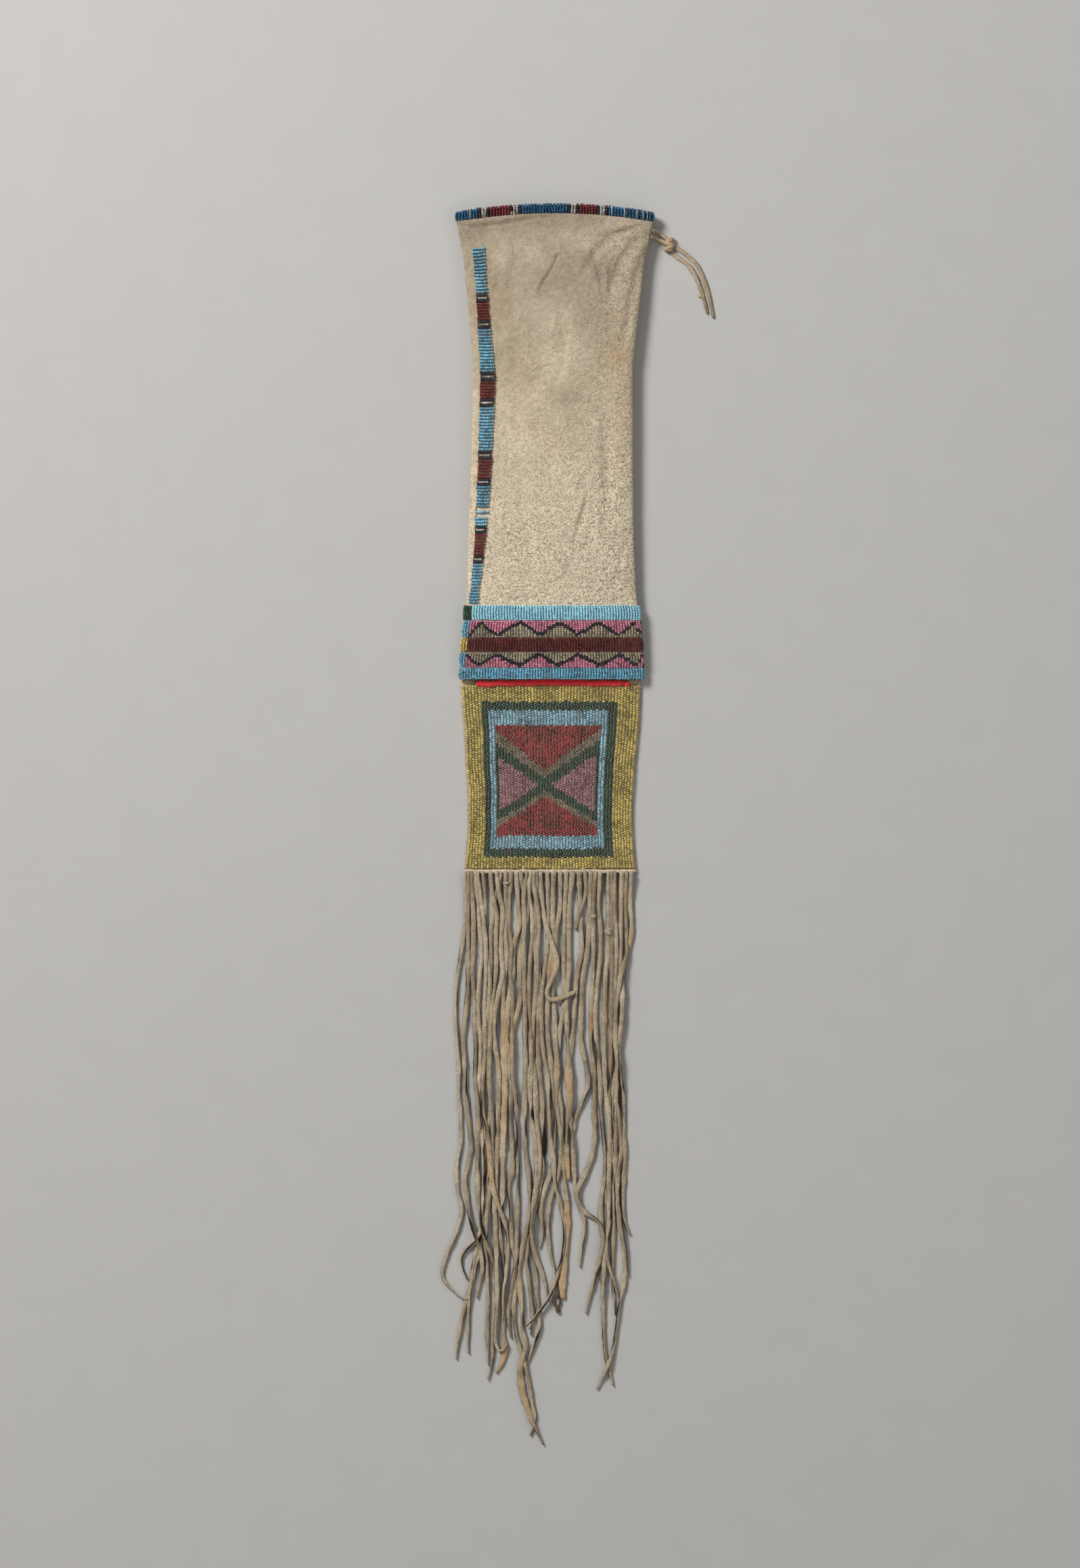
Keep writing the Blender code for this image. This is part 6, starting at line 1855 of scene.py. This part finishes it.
@dataclass
class Header:
    """The hide strip that the thongs are pulled through."""

    top: float = 482.8
    bottom: float = HEADER_BOTTOM
    thickness: float = 3.9

    def build(self, panel: Panel) -> None:
        """Make the strip.

        Args:
            panel: The panel whose lower corners it spans.
        """
        foot = panel.top + panel.length
        left, right = panel.side(foot, False) - 1.0, panel.side(foot, True) + 1.0
        across = np.linspace(left, right, 190)
        ends = smoothstep(-0.6, 2.6, np.minimum(across - left, right - across))
        high = -self.top + 0.1 + 0.45 * wander(across * 0.15, 3.0) * ends
        low = -self.bottom + 0.9 * (1 - ends) + 0.5 * wander(across * 0.2, 5.0)
        top = (self.thickness + 0.7 * wander(across * 0.3, 8.0)) * (0.55 + 0.45 * ends)
        base = np.full(len(across), 0.05)
        corners = (
            (high, base), (high, top * 0.85), (high - 0.7, top),
            (low + 0.8, top), (low, top * 0.8), (low, base),
        )
        rings = np.stack([np.column_stack([across, y, z]) for y, z in corners], axis=1)
        # The crease number here is painted shade: random dark patches standing for shade in folds along the
        # strip, and painted shadow on its lower edge and foot, where the thongs' heads meet it.
        folds = np.clip(0.3 * wander(across * 0.5, 1.0), 0, 1)[:, None]
        foot_painted_shadow = np.array([0.0, 0.1, 0.0, 0.15, 0.8, 0.9])
        numbers = {"pale": 0.9, "flecked": 0.4, "crease": np.clip(folds + foot_painted_shadow, 0, 1).ravel()}
        strip = (rings.reshape(-1, 3), tube_faces(len(across), len(corners)))
        add_piece("header_strip", "header_hide", strip, [POUCH_SUEDE], ["fringe_header"], numbers=numbers)


def add_knot(
    name: str, slot: str, strands: Sequence[tuple[Array, float, Xyz]], tone: str,
    nodes: Sequence[str] = (), finish: Suede = THONG_SUEDE,
) -> None:
    """Make a knot of hide strips as one piece.

    Args:
        name: The piece's name.
        slot: Its finish slot.
        strands: Each strip's line, its radius and a direction it doesn't follow.
        tone: Which tone its hide leans to.
        nodes: The nodes it stands for.
        finish: Its hide.
    """
    points, faces, count = [], [], 0
    for line, radius, pole in strands:
        more, their = thread_mesh([line], radius, 10, pole)
        points.append(more)
        faces += [[n + count for n in face] for face in their]
        count += len(more)
    points = np.concatenate(points)
    rough = wander(*points.T * 0.45)
    points[:, 2] += 0.25 * rough
    numbers = {"flecked": 0.6, tone: 0.35, "crease": np.clip(rough * 0.6, 0, 0.5)}
    add_piece(name, slot, (points, faces), [finish], nodes, numbers=numbers)


@dataclass
class Tie:
    """The tied thong at the mouth's right corner: knot, legs and two tails."""

    routes: tuple[tuple[str, Points], ...] = (
        ("tie_tail_long", (
            (88.2, 22.0), (95.0, 26.0), (101.0, 31.0), (106.0, 37.0), (110.0, 45.5), (113.3, 55.5),
            (116.0, 66.8), (117.5, 74.5),
        )),
        ("tie_tail_short", (
            (86.0, 25.9), (91.5, 30.0), (98.0, 35.0), (103.0, 42.0), (107.0, 51.0), (110.5, 61.0),
            (113.0, 71.5),
        )),
    )
    place: Xyz = (84.5, 20.5, 2.6)
    diameter: float = 2.7

    def tails(self) -> None:
        """Lay the two tails, the shorter one first."""
        for number, (node, chosen) in enumerate(self.routes):
            dense = smooth_course([(across, -down) for across, down in chosen], 3)
            tail = Thong(
                node, dense, width=3.3, thickness=1.7, taper=2.0, tip=0.85, seed=60 + number, head=False,
                step=1.2,
            )
            tail.dress(tail.lay(np.empty((0, 3))), "tie_hide", self.diameter)

    def knot(self) -> None:
        """Make the knot, turns of one strip round a core, and the legs to the hide's edge."""
        x, down, z = self.place
        turns = np.linspace(0, math.tau, 28)
        strands = []
        for shift, lean, size in ((-2.2, 0.55, 2.6), (0.2, -0.45, 2.9), (2.6, 0.5, 2.5)):
            y = -down + shift + lean * 3.2 * np.cos(turns) * 0.8
            loop = np.column_stack([x + size * np.cos(turns), y, z + 1.7 * np.sin(turns) - 0.2])
            strands.append((loop, 1.6, AHEAD))
        sway = x + 0.5 * np.sin(np.linspace(0, 3, 12))
        body = np.column_stack([sway, -down + np.linspace(-4.9, 4.9, 12), np.full(12, z - 0.2)])
        strands.append((body, 2.7, UPWARD))
        barb = [np.linspace(110.2, 106.2, 5), -np.array((60.6, 59.6, 58.8, 58.4, 58.6)), np.full(5, 1.2)]
        strands.append((np.column_stack(barb), 0.6, UPWARD))
        for hole, end, high in ((10.5, 17.2, 2.9), (15.5, 20.0, 2.6)):
            edge = POUCH.at(0.0, hole, 0.25)
            leg = smooth_course([(edge[0], edge[1]), (edge[0] + 5.0, edge[1] - 1.4), (x - 0.5, -end)], 8)
            share = np.linspace(0, 1, len(leg))
            rise = edge[2] + (high - edge[2]) * smoothstep(0.0, 0.7, share)
            strands.append((np.column_stack([leg, rise]), 1.35, UPWARD))
        add_knot("tie_knot_turns", "tie_hide", strands, "tan", ["tie_knot"])


@dataclass(frozen=True)
class Turn:
    """A knot or wrap round a thong: how far down it is, its size along and beside the thong, its lean."""

    name: str
    thong: int
    down: float
    tall: float
    wide: float
    lean: float = 0.0
    aside: float = 0.0


@dataclass
class Fringe:
    """Thirty-four thongs of hide, each laid over those before it."""

    diameter: float = 3.8
    blunt: tuple[int, ...] = (13, 24, 33, 34)
    spots: dict[int, tuple[Spot, ...]] = field(default_factory=lambda: {
        18: (Spot(618, 30, 1.6, 1.0, 1.0), Spot(675, 20, 1.25, 0.5, 0.5), Spot(846, 15, 1.8, 1.0, 1.0)),
        24: (Spot(642, 18, 1.6, 0.8, 1.0), Spot(704, 12, 1.3, 1.0, 0.6)),
        13: (Spot(788, 15, 1.7, 1.0, 1.0), Spot(742, 14, 1.7, 0.9, 1.0)),
        21: (Spot(872, 20, 1.7, 0.6, 1.0), Spot(800, 12, 1.2, 0.2, 0.4)),
        31: (Spot(706, 30, 1.3, 0.75, 0.8),),
        25: (Spot(594, 9, 1.3, 0.6, 0.8), Spot(529, 4, 1.25, 0.1)),
        26: (Spot(595, 8, 1.15, 0.6, 0.7),),
        12: (Spot(555, 8, 1.15, 0.7, 0.5),),
        17: (Spot(515, 7, 1.15, 0.7, 0.5),),
        23: (Spot(631, 8, 1.2, 0.6, 0.6),),
        3: (Spot(628, 9, 1.3, 0.1, 0.8),),
        16: (Spot(538, 5, 1.0, 1.0),),
        5: (Spot(535, 6, 1.15, 0.2),),
        29: (Spot(600, 8, 1.2, 0.1, 0.6),),
        34: (Spot(578, 7, 1.25, 0.15, 0.8), Spot(551, 9, 1.2, 1.0, 0.5)),
        33: (Spot(524, 5, 1.15, 0.0, 0.6),),
    })
    shades: dict[int, float] = field(default_factory=lambda: {
        1: -0.2, 2: -0.15, 4: 0.15, 6: -0.2, 7: 0.2, 9: 0.1, 11: -0.3, 14: 0.1, 16: 0.2, 19: 0.25, 21: -0.2,
        22: 0.25, 27: 0.2, 28: -0.1, 29: 0.3, 30: 0.2, 31: 0.35, 32: -0.15, 33: -0.1, 34: 0.1,
    })
    knots: tuple[Turn, ...] = (
        Turn("thong_knot_right", 25, 529.0, 5.6, 6.4, 0.35),
        Turn("thong_knot_middle", 12, 535.0, 4.0, 5.2, -0.2),
        Turn("thong_node_upper", 26, 518.0, 3.0, 4.8, 0.1),
        Turn("thong_wrap_left", 18, 491.8, 1.9, 6.8, 0.3, 1.3),
    )
    full_room: float = 3.9

    def build(self) -> None:
        """Lay and dress the thongs, lowest first."""
        laid = np.empty((0, 3))
        start = HEADER_BOTTOM + THONG_START
        rng = default_rng(3)
        heads = np.array([route[0][0] for route in FRINGE_ROUTES], float)
        for number, route in enumerate(FRINGE_ROUTES, 1):
            room = np.sort(np.abs(heads - route[0][0]))[1]
            chosen = [(across, -start - down) for across, down in route]
            thong = Thong(
                f"thong_{number:02d}", chosen, width=3.7 + rng.normal(0, 0.28), seed=number,
                spots=self.spots.get(number, ()), shade=self.shades.get(number, 0.0) + rng.normal(0, 0.25),
                head_width=float(np.clip(room / self.full_room, 0.72, 1.02)),
            )
            if number in self.blunt:
                thong.tip, thong.taper = 0.85, 4.0
            line = thong.lay(laid)
            thong.dress(line, "thong_hide", self.diameter)
            self.tie_knots(number, line)
            laid = np.concatenate([laid, line])
        self.curl()
        log.info("the fringe stands %.1f mm high", laid[:, 2].max())

    def curl(self) -> None:
        """The dark curled end of hide that shows below one of the thongs."""
        turns = np.linspace(0.6, 0.6 + math.tau, 20)
        ring = np.column_stack([1.6 + 2.3 * np.cos(turns), -802.4 + 4.0 * np.sin(turns), 1.0 + 0.1 * turns])
        lead = ((0.2, -785.5, 1.1), (1.7, -790.0, 1.1), (2.4, -795.0, 1.2), (2.2, -799.5, 1.3))
        stub = ((1.4, -805.6, 1.2), (2.0, -808.0, 1.3), (2.6, -810.6, 1.2))
        strands = [(ring, 0.9, UPWARD)]
        strands += [(smooth_course(way, 4), radius, UPWARD) for way, radius in ((lead, 1.0), (stub, 1.6))]
        add_knot("thong_end_curl", "thong_hide", strands, "grey", finish=CURLED_SUEDE)

    def tie_knots(self, number: int, line: Array) -> None:
        """Put this thong's knots on it.

        Args:
            number: The thong's number.
            line: Its middle line.
        """
        for knot in self.knots:
            if knot.thong != number:
                continue
            near = np.abs(line[:, 1] + knot.down)
            middle = line[near.argmin()] + (knot.aside, 0.0, 0.3)
            radius = knot.tall / 3.4
            around = np.linspace(0, math.tau, 22)
            strands = []
            for turn in (-1.0, 1.0):
                strands.append((np.column_stack([
                    middle[0] + (knot.wide / 2 - radius) * np.cos(around),
                    middle[1] + turn * (0.45 + knot.lean * np.cos(around)) * radius,
                    middle[2] + 1.0 * np.sin(around),
                ]), radius, AHEAD))
            body = middle + np.linspace(-0.42, 0.42, 8)[:, None] * knot.tall * np.array((0.05, 1.0, 0.0))
            strands.append((body, knot.wide * 0.36, UPWARD))
            add_knot(knot.name, "thong_hide", strands, "pale")


def write_size(when: str, sizes: dict[str, object]) -> None:
    """Keep the object's bounds at this moment.

    Args:
        when: The moment's name.
        sizes: What is kept so far; this is added.
    """
    sizes[when] = [[float(x) for x in corner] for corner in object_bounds()]


def main() -> None:
    """Build the picture, the cords and then the rest of the bag."""
    logging.basicConfig(level=logging.INFO, format="%(name)s: %(message)s")
    sizes: dict[str, object] = {}
    write_size("frame", sizes)
    Picture().build()
    Fringe().build()
    tie = Tie()
    tie.tails()
    tie.knot()
    Oddments(HidePouch().build()).build()
    Rim().build()
    SideStrip("front_strip_beads", "side_strip_front", "strip_front_beads", 0.0, 1.6, 8).build()
    SideStrip("back_strip_beads", "side_strip_back", "strip_back_beads", math.pi, 0.0, 9).build()
    Band().build()
    panel = Panel()
    panel.build()
    Piping().build()
    Header().build(panel)
    write_size("visual", sizes)


if __name__ == "__main__":
    main()
